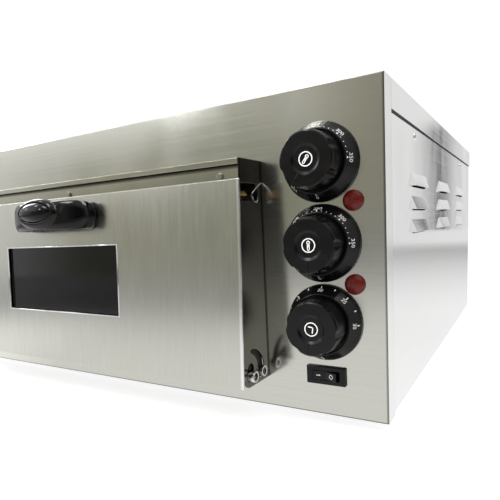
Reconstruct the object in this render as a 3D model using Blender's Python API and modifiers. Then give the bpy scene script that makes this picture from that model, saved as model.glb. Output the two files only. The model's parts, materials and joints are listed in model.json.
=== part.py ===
"""Countertop single-deck electric pizza oven.

Metres, +Z up, the front faces -Y. The origin is under the middle of the oven, on the plane its feet stand on.
The door, the three knobs and the power rocker hang from empties that lie on their joint axes.
"""

from math import atan2, cos, pi, radians, sin

import bmesh
import bpy
from mathutils import Matrix, Vector

# ---- driving dimensions of the cabinet ----
BODY_WIDTH = 0.580
BODY_DEPTH = 0.570
BODY_HEIGHT = 0.268
FOOT_HEIGHT = 0.012
FOOT_RADIUS = 0.015
FOOT_INSET = 0.060
SHEET = 0.0012
GAP = 0.0003
RETURN_FLANGE = 0.020
COVER_FLANGE = 0.0227

# ---- handle and door depths, which set how far the oven stands out in front ----
HINGE_SETOUT = 0.0337
DOOR_LEAN = radians(2.9)
DOOR_FACE = 0.0132
HANDLE_X = 0.0060
HANDLE_Z = 0.1422
HANDLE_HALF = 0.0560
HANDLE_HEIGHT = 0.0280
HANDLE_CORNER = 0.0110
HANDLE_BAND = 0.0085
HANDLE_FOOT = 0.0115
HANDLE_STAND = 0.0280
HANDLE_EDGE = 0.0030
RIM_HALVES = (0.0300, 0.0160)
RIM_HEIGHT = 0.0016
RIM_LIFT = 0.0018
BUTTON_HALVES = (0.0237, 0.0095)
BUTTON_LIFT = 0.0036
BUTTON_RISE = 0.0042
CROWN = DOOR_FACE + GAP + HANDLE_STAND
BUTTON_TIP = CROWN + RIM_HEIGHT + GAP + BUTTON_RISE
HANDLE_REACH = HINGE_SETOUT + BUTTON_TIP * cos(DOOR_LEAN) - (HANDLE_Z + BUTTON_LIFT) * sin(DOOR_LEAN)
GLAND_REACH = 0.0160

# ---- frame: the box around everything is centred on the origin ----
FRONT = HANDLE_REACH - (HANDLE_REACH + BODY_DEPTH + GLAND_REACH) / 2
BACK = FRONT + BODY_DEPTH
RIGHT = BODY_WIDTH / 2
BASE = FOOT_HEIGHT
TOP = BASE + BODY_HEIGHT

# ---- walls, set inside the front panel and the lid ----
WALL_X = RIGHT - SHEET - GAP
WALL_TOP = TOP - 0.0100
WALL_FRONT = FRONT + 0.0100
REAR_FACE = BACK - SHEET - GAP
PAN_EDGE = 0.0120
WALL_SCREW_Y = (FRONT + 0.1168, FRONT + 0.4532)
WALL_SCREW_Z = BASE + 0.2362
WALL_SCREW_RADIUS = 0.0034
REAR_SLOT_COUNT = 8
REAR_SLOT_PITCH = 0.050
REAR_SLOT_HALF = 0.018
REAR_SLOT_HEIGHT = 0.006
REAR_SLOT_Z = (BASE + 0.170, BASE + 0.192)

# ---- door: heights are from the hinge line ----
DOOR_X = RIGHT - 0.327
DOOR_WIDTH = 0.446
DOOR_HEIGHT = 0.1707
DOOR_SKIN = 0.0022
HINGE_Y = FRONT - HINGE_SETOUT
HINGE_Z = BASE + 0.0365
DOOR_DROP = 0.0087
PAN_WIDTH = 0.4360
PAN_LOW = 0.0060
PAN_HIGH = 0.1440
PAN_DEPTH = 0.0330
WINDOW_WIDTH = 0.1720
WINDOW_LOW = BASE + 0.0806 - HINGE_Z
WINDOW_HIGH = BASE + 0.1491 - HINGE_Z
GLASS_BORDER = 0.0100
GLASS_THICKNESS = 0.0040
STUD_X = 0.2140
STUD_Z = BASE + 0.1880 - HINGE_Z

# ---- surround that the door closes against ----
SURROUND_HALF = 0.2214
SURROUND_LOW = BASE + 0.0265
SURROUND_TOP = BASE + 0.2155
SURROUND_REACH_LOW = 0.0440
SURROUND_REACH_TOP = 0.0345
CORNER_ARC_RADIUS = 0.0100
NOTCH_LOW = BASE + 0.1810
NOTCH_HIGH = BASE + 0.1960
NOTCH_BACK = 0.0060
NOTCH_CORNER = 0.0050
BAND_SETBACK = 0.0045
LIP_DROP = 0.0045
BAND_SCREW_X = (-0.200, 0.012, 0.200)
BAND_SCREW_Z = BASE + 0.2025
BAND_SCREW_RADIUS = 0.0028
BAND_SCREW_RISE = 0.0016

# ---- hinge tube, and the stop tube that runs in an arc slot about it ----
HINGE_TUBE_RADIUS = 0.0048
STOP_TUBE_RADIUS = 0.0047
TUBE_BORE_RADIUS = 0.0032
HINGE_TUBE_REACH = 0.0060
STOP_TUBE_REACH = 0.0030
STOP_ARM = 0.0205
DOOR_TRAVEL = radians(80)
STOP_REST_ANGLE = radians(-3)
SLOT_MARGIN = radians(2)
SLOT_HALF_WIDTH = 0.0053
SLOT_TIP_HALF_WIDTH = 0.0018
SLOT_TAPER_START = radians(20)
STOP_NECK_RADIUS = 0.0015
STOP_BORE_DEPTH = 0.0018
HINGE_HOLE_RADIUS = 0.0053
HINGE_HOLE_SHIFT = (0.0022, 0.0050)
BRACKET_SHEET = 0.0014
BRACKET_TOP = 0.0300
BRACKET_EDGE = 0.0070

# ---- baking chamber ----
CHAMBER_HALF = 0.2080
CHAMBER_LOW = BASE + 0.0440
CHAMBER_HIGH = BASE + 0.1840
CHAMBER_DEPTH = 0.4200
MOUTH_HALF = 0.2060
MOUTH_LOW = BASE + 0.0470
MOUTH_HIGH = BASE + 0.1780
STONE_WIDTH = 0.4000
STONE_DEPTH = 0.4000
STONE_THICKNESS = 0.0120
STONE_LOW = BASE + 0.0620
STONE_FRONT = FRONT + 0.0112
RAIL_WIDTH = 0.0130
ROD_RADIUS = 0.0033
ROD_HOLE_RADIUS = 0.0041
UPPER_ROD_Z = BASE + 0.1760
LOWER_ROD_Z = BASE + 0.0520
ROD_END_X = (DOOR_X + 0.140, DOOR_X + 0.168)
ROD_NEAR = FRONT + 0.0400
ROD_FAR = FRONT + 0.3650
ROD_EXIT = FRONT + 0.4340
ROD_BEND = 0.0200
ROD_LOOP_INSET = 0.0400
ROD_LOOP_SETBACK = 0.0700
INSULATION_SIDE = 0.0190
INSULATION_TOP = 0.0500
INSULATION_BACK = 0.0450
INSULATION_LOW = BASE + 0.0130

# ---- control strip ----
DIAL_X = RIGHT - 0.0510
DIAL_Z = (BASE + 0.2084, BASE + 0.1441, BASE + 0.0792)
SKIRT_RADIUS = 0.0316
SKIRT_RIM = 0.0030
CREST_RADIUS = 0.0245
CREST_HEIGHT = 0.0125
CUP_FLOOR = 0.0100
KNOB_LENGTH = 0.0210
KNOB_RADIUS = 0.0221
KNOB_LOBES = 6
KNOB_POINTER = (radians(235), radians(270), radians(262))
SCALLOP_RADIUS = 0.0110
SCALLOP_ROOT_RING = 0.0354
SCALLOP_FACE_RING = 0.0296
DISH_RADIUS = 0.0116
DISH_DEPTH = 0.0014
POINTER_WIDTH = 0.0014
POINTER_DEPTH = 0.0005
SHAFT_HOLE_RADIUS = 0.0045
BLOCK_HALF_WIDTH = 0.0220
BLOCK_HALF_HEIGHT = 0.0200
THERMOSTAT_DEPTH = 0.0380
TIMER_DEPTH = 0.0460
LAMP_X = RIGHT - 0.0249
LAMP_Z = (BASE + 0.1767, BASE + 0.1110)
LAMP_RADIUS = 0.0082
LAMP_HOLE_RADIUS = 0.0060
LAMP_BARREL = 0.0160
ROCKER_X = RIGHT - 0.0510
ROCKER_Z = BASE + 0.0340
BEZEL_HALVES = (0.0170, 0.0078)
BEZEL_RISE = 0.0026
SWITCH_HOLE_HALVES = (0.0140, 0.0060)
BARREL_HALVES = (0.0136, 0.0056)
SOCKET_HALVES = (0.0120, 0.0042)
SOCKET_DEPTH = 0.0080
ROCKER_HALF = 0.0108
ROCKER_THICKNESS = 0.0076
ROCKER_TILT = radians(14)
SWITCH_DEPTH = 0.0200
PARTITION_X = RIGHT - 0.0960
PARTITION_END = FRONT + 0.4300

# ---- thermostat sensors, mains inlet and wiring ----
SENSOR_Y = (FRONT + 0.0750, FRONT + 0.1050)
SENSOR_Z = (BASE + 0.1620, BASE + 0.0800)
SENSOR_RADIUS = 0.0020
SENSOR_HOLE_RADIUS = 0.0030
SENSOR_TIP_X = DOOR_X + 0.1800
SENSOR_BEND = 0.0120
TERMINAL_PLACE = (RIGHT - 0.0500, BACK - 0.0700)
TERMINAL_TOP = BASE + 0.0200
TERMINAL_HALVES = (0.0250, 0.0120)
TERMINAL_PITCH = 0.0160
TERMINAL_WELL_RADIUS = 0.0036
TERMINAL_WELL_DEPTH = 0.0050
GLAND_PLACE = (RIGHT - 0.0500, BASE + 0.0450)
GLAND_THREAD_RADIUS = 0.0080
GLAND_THREAD_LENGTH = 0.0160
GLAND_NUT_RADIUS = 0.0125
GLAND_BORE_RADIUS = 0.0045
LOOM_RADIUS = 0.0030

# ---- side louvres ----
LOUVRE_Y = (FRONT + 0.132, FRONT + 0.286, FRONT + 0.440)
LOUVRE_Z = (BASE + 0.1475, BASE + 0.1690, BASE + 0.1905)
LOUVRE_LENGTH = 0.0740
LOUVRE_HEIGHT = 0.0120
LOUVRE_REACH = 0.0040
LOUVRE_END_SLOPE = 1.3
LOUVRE_SHEET = 0.0009

# ---- cheek-plate springs: (depth in front of the panel, height) ----
SPRING_PATH = (
    (0.0012, 0.1969),
    (0.0085, 0.1936),
    (0.0139, 0.1902),
    (0.0178, 0.1872),
    (0.0181, 0.1852),
    (0.0163, 0.1829),
    (0.0128, 0.1810),
    (0.0098, 0.1808),
    (0.0082, 0.1826),
    (0.0078, 0.1856),
)
SPRING_RADIUS = 0.0006

ROUND_STEPS = 32
DIAL_STEPS = 48

COLOURS = {
    "satin_steel": ((0.56, 0.56, 0.54), 0.32, 1.0),
    "bright_steel": ((0.78, 0.78, 0.77), 0.16, 1.0),
    "galvanised_steel": ((0.50, 0.51, 0.52), 0.45, 1.0),
    "blued_steel": ((0.20, 0.20, 0.21), 0.40, 1.0),
    "chrome": ((0.85, 0.85, 0.86), 0.08, 1.0),
    "brass": ((0.72, 0.52, 0.22), 0.28, 1.0),
    "black_plastic": ((0.012, 0.012, 0.013), 0.34, 0.0),
    "gloss_black": ((0.010, 0.010, 0.011), 0.10, 0.0),
    "black_rubber": ((0.015, 0.015, 0.015), 0.80, 0.0),
    "ruby_lens": ((0.22, 0.008, 0.010), 0.15, 0.0),
    "glass": ((0.02, 0.022, 0.024), 0.05, 0.0),
    "mineral_wool": ((0.62, 0.58, 0.47), 0.95, 0.0),
    "cordierite": ((0.66, 0.55, 0.42), 0.90, 0.0),
    "copper": ((0.72, 0.38, 0.25), 0.30, 1.0),
    "white_ceramic": ((0.80, 0.78, 0.72), 0.45, 0.0),
    "red_wire": ((0.45, 0.03, 0.02), 0.50, 0.0),
}


# ---- scene ----
def clear_scene():
    for old in list(bpy.data.objects):
        bpy.data.objects.remove(old, do_unlink=True)


def new_collection(name):
    collection = bpy.data.collections.new(name)
    bpy.context.scene.collection.children.link(collection)
    return collection


clear_scene()
PARTS = new_collection("countertop_pizza_oven")
CUTTERS = new_collection("cutters")


def material(name):
    found = bpy.data.materials.get(name)
    if found:
        return found
    colour, roughness, metallic = COLOURS[name]
    made = bpy.data.materials.new(name)
    made.use_nodes = True
    shader = made.node_tree.nodes["Principled BSDF"]
    shader.inputs["Base Color"].default_value = (*colour, 1.0)
    shader.inputs["Roughness"].default_value = roughness
    shader.inputs["Metallic"].default_value = metallic
    made.diffuse_color = (*colour, 1.0)
    return made


def place(name, data, finish, parent=None, location=(0, 0, 0)):
    """Add an object to the parts, in its parent's axes."""
    if not data.materials:
        data.materials.append(material(finish))
    made = bpy.data.objects.new(name, data)
    made.location = location
    made.parent = parent
    PARTS.objects.link(made)
    return made


def pivot(name, location, rotation=(0, 0, 0)):
    """An empty on a joint axis, which the moving piece hangs from."""
    empty = bpy.data.objects.new(name, None)
    empty.location = location
    empty.rotation_euler = rotation
    empty.empty_display_size = 0.03
    PARTS.objects.link(empty)
    return empty


# ---- meshes ----
def mesh_of(name, form):
    data = bpy.data.meshes.new(name)
    form.to_mesh(data)
    form.free()
    return data


def add_box(form, low, high):
    """Add a box between two corners to a bmesh and return its vertices."""
    low = Vector(low)
    high = Vector(high)
    size = high - low
    matrix = Matrix.Translation((low + high) / 2) @ Matrix.Diagonal((*size, 1.0))
    return bmesh.ops.create_cube(form, size=1.0, matrix=matrix)["verts"]


def turn_to(axis):
    """The rotation that carries +Z onto a direction."""
    return Vector((0, 0, 1)).rotation_difference(Vector(axis)).to_matrix().to_4x4()


def add_cylinder(form, start, end, radius, end_radius=None, steps=ROUND_STEPS):
    start = Vector(start)
    end = Vector(end)
    axis = end - start
    bmesh.ops.create_cone(
        form,
        cap_ends=True,
        segments=steps,
        radius1=radius,
        radius2=radius if end_radius is None else end_radius,
        depth=axis.length,
        matrix=Matrix.Translation((start + end) / 2) @ turn_to(axis.normalized()),
    )


def boxes_mesh(name, corners):
    form = bmesh.new()
    for low, high in corners:
        add_box(form, low, high)
    return mesh_of(name, form)


def cylinders_mesh(name, pieces, steps=ROUND_STEPS):
    form = bmesh.new()
    for start, end, radius in pieces:
        add_cylinder(form, start, end, radius, steps=steps)
    return mesh_of(name, form)


def smooth(piece, angle=35):
    piece.data.shade_smooth()
    piece.data.set_sharp_from_angle(angle=radians(angle))
    return piece


def rounded(piece, width, segments=2, angle=35):
    bevel = piece.modifiers.new("rounded edges", "BEVEL")
    bevel.width = width
    bevel.segments = segments
    bevel.limit_method = "ANGLE"
    bevel.angle_limit = radians(angle)
    return piece


def tool(name, data, parent=None):
    """A wire-frame helper that a Boolean uses."""
    made = bpy.data.objects.new(name, data)
    made.parent = parent
    made.hide_render = True
    made.display_type = "WIRE"
    CUTTERS.objects.link(made)
    return made


def boolean(piece, other, operation):
    step = piece.modifiers.new(operation.lower(), "BOOLEAN")
    step.operation = operation
    step.object = other
    step.solver = "EXACT"
    return piece


def cut(piece, data, parent=None):
    return boolean(piece, tool(f"cut_{piece.name}_{len(piece.modifiers)}", data, parent), "DIFFERENCE")


def join(piece, data, parent=None):
    return boolean(piece, tool(f"join_{piece.name}_{len(piece.modifiers)}", data, parent), "UNION")


def box(name, low, high, finish, parent=None, round_by=0.0):
    piece = place(name, boxes_mesh(name, [(low, high)]), finish, parent)
    return rounded(piece, round_by) if round_by else piece


def arc(centre, radius, start, end, count):
    """Points of an arc in a plane, both ends included."""
    step = (end - start) / (count - 1)
    return [
        (centre[0] + radius * cos(start + step * i), centre[1] + radius * sin(start + step * i))
        for i in range(count)
    ]


def outline_mesh(name, loops, thickness):
    """A flat outline in its own XY plane, holes included, thickened along Z and welded into a mesh."""
    curve = bpy.data.curves.new(name, "CURVE")
    curve.dimensions = "2D"
    curve.fill_mode = "BOTH"
    curve.extrude = thickness / 2
    for loop in loops:
        spline = curve.splines.new("POLY")
        spline.points.add(len(loop) - 1)
        for point, (x, y) in zip(spline.points, loop):
            point.co = (x, y, 0, 1)
        spline.use_cyclic_u = True
    return welded_mesh(name, curve)


def welded_mesh(name, curve):
    """Turn a curve into a closed mesh and remove the curve."""
    guide = bpy.data.objects.new(f"{name}_guide", curve)
    CUTTERS.objects.link(guide)
    bpy.context.view_layer.update()
    graph = bpy.context.evaluated_depsgraph_get()
    data = bpy.data.meshes.new_from_object(guide.evaluated_get(graph))
    data.name = name
    data.materials.clear()
    bpy.data.objects.remove(guide, do_unlink=True)
    form = bmesh.new()
    form.from_mesh(data)
    bmesh.ops.remove_doubles(form, verts=form.verts, dist=1e-6)
    bmesh.ops.recalc_face_normals(form, faces=form.faces)
    form.to_mesh(data)
    form.free()
    return data


def moved(data, matrix):
    data.transform(matrix)
    return data


def side_profile(data, x):
    """Stand an outline drawn as (depth, height) on the YZ plane at x."""
    across = Matrix(((0, 0, 1, x), (1, 0, 0, 0), (0, 1, 0, 0), (0, 0, 0, 1)))
    return moved(data, across)


def tube(name, points, radius, finish, parent=None, resolution=2):
    """A round wire through a list of points."""
    curve = bpy.data.curves.new(name, "CURVE")
    curve.dimensions = "3D"
    curve.bevel_depth = radius
    curve.bevel_resolution = resolution
    curve.use_fill_caps = True
    spline = curve.splines.new("POLY")
    spline.points.add(len(points) - 1)
    for point, place_at in zip(spline.points, points):
        point.co = (*place_at, 1)
    return smooth(place(name, welded_mesh(name, curve), finish, parent), 60)


def turned(name, profile, finish, location, axis=(0, 0, 1), steps=ROUND_STEPS, parent=None, closed=False):
    """A profile of (radius, height) pairs, from the top down its outer side, turned about the axis."""
    form = bmesh.new()
    dots = [form.verts.new((radius, 0, height)) for radius, height in profile]
    for first, second in zip(dots, dots[1:]):
        form.edges.new((first, second))
    if closed:
        form.edges.new((dots[-1], dots[0]))
    piece = place(name, mesh_of(name, form), finish, parent, location)
    piece.rotation_mode = "QUATERNION"
    piece.rotation_quaternion = Vector((0, 0, 1)).rotation_difference(Vector(axis))
    screw = piece.modifiers.new("turned", "SCREW")
    screw.angle = 2 * pi
    screw.axis = "Z"
    screw.steps = steps
    screw.render_steps = steps
    screw.use_merge_vertices = True
    screw.merge_threshold = 1e-5
    return smooth(piece)


# ---- cabinet ----
def front_panel():
    """Folded front sheet with the oven's mouth and the holes of the controls."""
    panel = box("front_panel", (-RIGHT, FRONT, BASE), (RIGHT, FRONT + RETURN_FLANGE, TOP), "satin_steel")
    inside = (
        (-RIGHT + SHEET, FRONT + SHEET, BASE + SHEET),
        (RIGHT - SHEET, FRONT + 2 * RETURN_FLANGE, TOP - SHEET),
    )
    mouth = (
        (DOOR_X - MOUTH_HALF, FRONT - SHEET, MOUTH_LOW),
        (DOOR_X + MOUTH_HALF, FRONT + 3 * SHEET, MOUTH_HIGH),
    )
    half_x, half_z = SWITCH_HOLE_HALVES
    switch = (
        (ROCKER_X - half_x, FRONT - SHEET, ROCKER_Z - half_z),
        (ROCKER_X + half_x, FRONT + 3 * SHEET, ROCKER_Z + half_z),
    )
    cut(panel, boxes_mesh("front_panel_inside", [inside]))
    cut(panel, boxes_mesh("front_panel_mouth", [mouth, switch]))
    holes = [((DIAL_X, FRONT - SHEET, z), (DIAL_X, FRONT + 3 * SHEET, z), SHAFT_HOLE_RADIUS) for z in DIAL_Z]
    holes += [((LAMP_X, FRONT - SHEET, z), (LAMP_X, FRONT + 3 * SHEET, z), LAMP_HOLE_RADIUS) for z in LAMP_Z]
    return cut(panel, cylinders_mesh("front_panel_holes", holes, 20))


def top_cover():
    """Lid sheet with its side and rear flanges turned down over the walls."""
    front_edge = FRONT + RETURN_FLANGE + GAP
    cover = box("top_cover", (-RIGHT, front_edge, TOP - COVER_FLANGE), (RIGHT, BACK, TOP), "bright_steel")
    inside = (
        (-RIGHT + SHEET, front_edge - SHEET, TOP - COVER_FLANGE - SHEET),
        (RIGHT - SHEET, BACK - SHEET, TOP - SHEET),
    )
    return cut(cover, boxes_mesh("top_cover_inside", [inside]))


def wedge(form, low, high, ridge):
    """A box whose upper outer edge is pulled in to the ridge position, and whose ends slope inwards."""
    middle = (low[1] + high[1]) / 2
    root = min(abs(low[0]), abs(high[0]))
    for corner in add_box(form, low, high):
        upper = corner.co.z > (low[2] + high[2]) / 2
        outer = abs(corner.co.x) > (abs(low[0]) + abs(high[0])) / 2
        if upper and outer:
            corner.co.x = ridge
        pulled_in = LOUVRE_END_SLOPE * (abs(corner.co.x) - root)
        corner.co.y += pulled_in if corner.co.y < middle else -pulled_in


def louvres(name, side, inset, bottom, inner_face, reach, ridge):
    """All nine louvre bodies of one wall, as separate wedges in one mesh."""
    form = bmesh.new()
    faces = sorted((side * inner_face, side * (WALL_X + reach)))
    for y in LOUVRE_Y:
        for z in LOUVRE_Z:
            half = LOUVRE_LENGTH / 2 - inset
            low = (faces[0], y - half, z - bottom)
            high = (faces[1], y + half, z + LOUVRE_HEIGHT - 2 * inset)
            wedge(form, low, high, side * ridge)
    return mesh_of(name, form)


def side_panel(name, side):
    """Side wall with two screws and three columns of lanced louvres, open at their lower edges."""
    faces = sorted((side * (WALL_X - SHEET), side * WALL_X))
    low = (faces[0], WALL_FRONT, BASE + SHEET + GAP)
    high = (faces[1], REAR_FACE - SHEET - GAP, WALL_TOP)
    wall = box(name, low, high, "bright_steel")
    join(wall, louvres(f"{name}_hoods", side, 0.0, 0.0, WALL_X - SHEET / 2, LOUVRE_REACH, WALL_X + GAP))
    reach = LOUVRE_REACH - LOUVRE_SHEET
    behind = WALL_X - 3 * SHEET
    cut(wall, louvres(f"{name}_slits", side, LOUVRE_SHEET, LOUVRE_SHEET, behind, reach, WALL_X - 2 * GAP))
    root = side * (WALL_X - SHEET / 2)
    tip = side * (WALL_X + SHEET)
    heads = [((root, y, WALL_SCREW_Z), (tip, y, WALL_SCREW_Z), WALL_SCREW_RADIUS) for y in WALL_SCREW_Y]
    return join(wall, cylinders_mesh(f"{name}_screws", heads, 16))


def back_panel():
    """Rear wall with two rows of ventilation slots and the hole of the cable gland."""
    low = (-WALL_X, REAR_FACE - SHEET, BASE + SHEET + GAP)
    high = (WALL_X, REAR_FACE, WALL_TOP)
    wall = box("back_panel", low, high, "galvanised_steel")
    before = REAR_FACE - 3 * SHEET
    behind = REAR_FACE + 2 * SHEET
    slots = []
    for column in range(REAR_SLOT_COUNT):
        x = REAR_SLOT_PITCH * (column - (REAR_SLOT_COUNT - 1) / 2)
        for z in REAR_SLOT_Z:
            corner = (x + REAR_SLOT_HALF, behind, z + REAR_SLOT_HEIGHT)
            slots.append(((x - REAR_SLOT_HALF, before, z), corner))
    cut(wall, boxes_mesh("back_panel_slots", slots))
    x, z = GLAND_PLACE
    hole = ((x, before, z), (x, behind, z), GLAND_THREAD_RADIUS + GAP)
    return cut(wall, cylinders_mesh("back_panel_gland_hole", [hole], 24))


def base_pan():
    """Floor sheet behind the front panel, its edges turned up inside the walls."""
    inner = WALL_X - SHEET - GAP
    low = (-inner, FRONT + RETURN_FLANGE + GAP, BASE)
    high = (inner, REAR_FACE - 2 * SHEET - GAP, BASE + PAN_EDGE)
    pan = box("base_pan", low, high, "galvanised_steel")
    hollow = (
        (low[0] + SHEET, low[1] - SHEET, BASE + SHEET),
        (high[0] - SHEET, high[1] - SHEET, high[2] + SHEET),
    )
    return cut(pan, boxes_mesh("base_pan_inside", [hollow]))


def feet():
    """Four tapered rubber feet."""
    half_x = RIGHT - FOOT_INSET
    profile = [
        (0, FOOT_HEIGHT - GAP),
        (FOOT_RADIUS - 0.001, FOOT_HEIGHT - GAP),
        (FOOT_RADIUS, FOOT_HEIGHT - 0.002),
        (FOOT_RADIUS - 0.003, 0.001),
        (FOOT_RADIUS - 0.004, 0),
        (0, 0),
    ]
    for side_name, side in (("left", -1), ("right", 1)):
        for end_name, y in (("front", FRONT + FOOT_INSET), ("rear", BACK - FOOT_INSET)):
            turned(f"foot_{end_name}_{side_name}", profile, "black_rubber", (side * half_x, y, 0), steps=24)


# ---- door surround ----
def surround_front(z):
    """How far the slanting front edge of the surround stands out of the panel at a height."""
    share = (z - SURROUND_LOW) / (SURROUND_TOP - SURROUND_LOW)
    return SURROUND_REACH_LOW + share * (SURROUND_REACH_TOP - SURROUND_REACH_LOW)


def capsule(first, second, radius):
    """Outline of a round-ended slot between two centres."""
    heading = atan2(second[1] - first[1], second[0] - first[0])
    far_end = arc(second, radius, heading - pi / 2, heading + pi / 2, 10)
    return far_end + arc(first, radius, heading + pi / 2, heading + 3 * pi / 2, 10)


def about_hinge(radius, angle):
    return (HINGE_Y + radius * cos(angle), HINGE_Z + radius * sin(angle))


def arc_slot():
    """Outline of the curved slot about the hinge line, which narrows to where the stop pin ends its run."""
    first = STOP_REST_ANGLE - SLOT_MARGIN
    last = STOP_REST_ANGLE + DOOR_TRAVEL
    steps = 12
    outer = []
    inner = []
    for step in range(steps + 1):
        angle = first + (last - first) * step / steps
        taper = max(0.0, (angle - SLOT_TAPER_START) / (last - SLOT_TAPER_START))
        half = SLOT_HALF_WIDTH + (SLOT_TIP_HALF_WIDTH - SLOT_HALF_WIDTH) * taper
        outer.append(about_hinge(STOP_ARM + half, angle))
        inner.append(about_hinge(STOP_ARM - half, angle))
    tip = arc(about_hinge(STOP_ARM, last), SLOT_TIP_HALF_WIDTH, last, last + pi, 7)[1:-1]
    heel = arc(about_hinge(STOP_ARM, first), SLOT_HALF_WIDTH, first - pi, first, 9)[1:-1]
    return outer + tip + inner[::-1] + heel


def surround_side(name, side):
    """Slanted cheek plate with the hinge hole, the stop slot and the open notch of the latch stud."""
    root = FRONT - GAP
    centre = (HINGE_Y, HINGE_Z)
    outer = [(root, SURROUND_LOW)]
    outer += arc(centre, CORNER_ARC_RADIUS, radians(270), radians(183), 7)
    outer.append((FRONT - surround_front(NOTCH_LOW), NOTCH_LOW))
    outer.append((FRONT - NOTCH_BACK, NOTCH_LOW))
    corner = (FRONT - NOTCH_BACK - NOTCH_CORNER, NOTCH_HIGH - NOTCH_CORNER)
    outer += arc(corner, NOTCH_CORNER, 0, radians(90), 5)
    outer.append((FRONT - surround_front(NOTCH_HIGH), NOTCH_HIGH))
    outer.append((FRONT - surround_front(SURROUND_TOP), SURROUND_TOP))
    outer.append((root, SURROUND_TOP))
    upper = (HINGE_Y + HINGE_HOLE_SHIFT[0], HINGE_Z + HINGE_HOLE_SHIFT[1])
    hole = capsule(centre, upper, HINGE_HOLE_RADIUS)
    data = outline_mesh(name, [outer, hole, arc_slot()], SHEET)
    x = DOOR_X + side * (SURROUND_HALF - SHEET / 2)
    return place(name, side_profile(data, x), "satin_steel")


def surround_top():
    """Hood sheet over the door, with a short lip turned down along its front edge."""
    reach = surround_front(SURROUND_TOP)
    half = SURROUND_HALF - SHEET - GAP
    low = (DOOR_X - half, FRONT - reach, SURROUND_TOP - LIP_DROP)
    high = (DOOR_X + half, FRONT - GAP, SURROUND_TOP)
    hood = box("surround_top", low, high, "satin_steel")
    under = (
        (low[0] - SHEET, low[1] + SHEET, low[2] - SHEET),
        (high[0] + SHEET, high[1] + SHEET, high[2] - SHEET),
    )
    return cut(hood, boxes_mesh("surround_top_under", [under]))


def surround_band():
    """Set-back strip between the hood and the door's upper edge."""
    half = SURROUND_HALF - SHEET - GAP
    face = FRONT - surround_front(SURROUND_TOP) + BAND_SETBACK
    low = (DOOR_X - half, face, NOTCH_HIGH)
    high = (DOOR_X + half, face + SHEET, SURROUND_TOP - SHEET - GAP)
    band = box("surround_band", low, high, "satin_steel")
    heads = []
    for offset in BAND_SCREW_X:
        x = DOOR_X + offset
        root = (x, face + SHEET / 2, BAND_SCREW_Z)
        tip = (x, face - BAND_SCREW_RISE, BAND_SCREW_Z)
        heads.append((root, tip, BAND_SCREW_RADIUS))
    return join(band, cylinders_mesh("surround_band_screws", heads, 12))


# ---- chamber ----
def chamber():
    """Five liner plates around the baking space, behind the mouth."""
    start = FRONT + SHEET + GAP
    end = start + CHAMBER_DEPTH
    left = DOOR_X - CHAMBER_HALF
    right = DOOR_X + CHAMBER_HALF
    low = CHAMBER_LOW + SHEET + GAP
    high = CHAMBER_HIGH - SHEET - GAP
    box("chamber_floor", (left, start, CHAMBER_LOW), (right, end, CHAMBER_LOW + SHEET), "blued_steel")
    box("chamber_ceiling", (left, start, CHAMBER_HIGH - SHEET), (right, end, CHAMBER_HIGH), "blued_steel")
    box("chamber_wall_left", (left, start, low), (left + SHEET, end, high), "blued_steel")
    wall = box("chamber_wall_right", (right - SHEET, start, low), (right, end, high), "blued_steel")
    drill_for_sensors(wall)
    inset = SHEET + GAP
    back = box("chamber_back", (left + inset, end - SHEET, low), (right - inset, end, high), "blued_steel")
    drill_for_rods(back)


def drill_for_sensors(piece):
    """Holes for the two thermostat sensors, which run across into the chamber."""
    holes = [
        ((PARTITION_X - 0.04, y, z), (PARTITION_X + 0.01, y, z), SENSOR_HOLE_RADIUS)
        for y, z in zip(SENSOR_Y, SENSOR_Z)
    ]
    return cut(piece, cylinders_mesh(f"{piece.name}_sensor_holes", holes, 12))


def drill_for_rods(piece):
    """Holes for the four ends of the heating rods."""
    holes = [
        ((x, ROD_FAR, z), (x, ROD_EXIT, z), ROD_HOLE_RADIUS)
        for x in ROD_END_X
        for z in (LOWER_ROD_Z, UPPER_ROD_Z)
    ]
    return cut(piece, cylinders_mesh(f"{piece.name}_rod_holes", holes, 12))


def insulation():
    """Mineral wool around the chamber: a blanket over its sides and top, a floor slab and a back slab."""
    start = FRONT + SHEET + 2 * GAP
    end = start + CHAMBER_DEPTH
    left = DOOR_X - CHAMBER_HALF - GAP
    right = DOOR_X + CHAMBER_HALF + GAP
    low = (left - INSULATION_SIDE, start, INSULATION_LOW)
    high = (right + INSULATION_SIDE, end, CHAMBER_HIGH + INSULATION_TOP)
    wrap = box("insulation_wrap", low, high, "mineral_wool")
    tunnel = ((left - GAP, start - SHEET, BASE), (right + GAP, end + SHEET, CHAMBER_HIGH + GAP))
    cut(wrap, boxes_mesh("insulation_wrap_tunnel", [tunnel]))
    drill_for_sensors(wrap)
    slab = (left, start + RETURN_FLANGE, INSULATION_LOW)
    box("insulation_floor", slab, (right, end, CHAMBER_LOW - GAP), "mineral_wool")
    clear_of_rods = 3 * ROD_RADIUS
    low = (left, end + GAP, LOWER_ROD_Z + clear_of_rods)
    high = (right, end + INSULATION_BACK, UPPER_ROD_Z - clear_of_rods)
    box("insulation_back", low, high, "mineral_wool")


def control_partition():
    """Sheet wall that keeps the chamber's heat out of the control bay."""
    low = (PARTITION_X, FRONT + SHEET + GAP, INSULATION_LOW)
    high = (PARTITION_X + SHEET, PARTITION_END, TOP - RETURN_FLANGE)
    return drill_for_sensors(box("control_partition", low, high, "galvanised_steel"))


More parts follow.
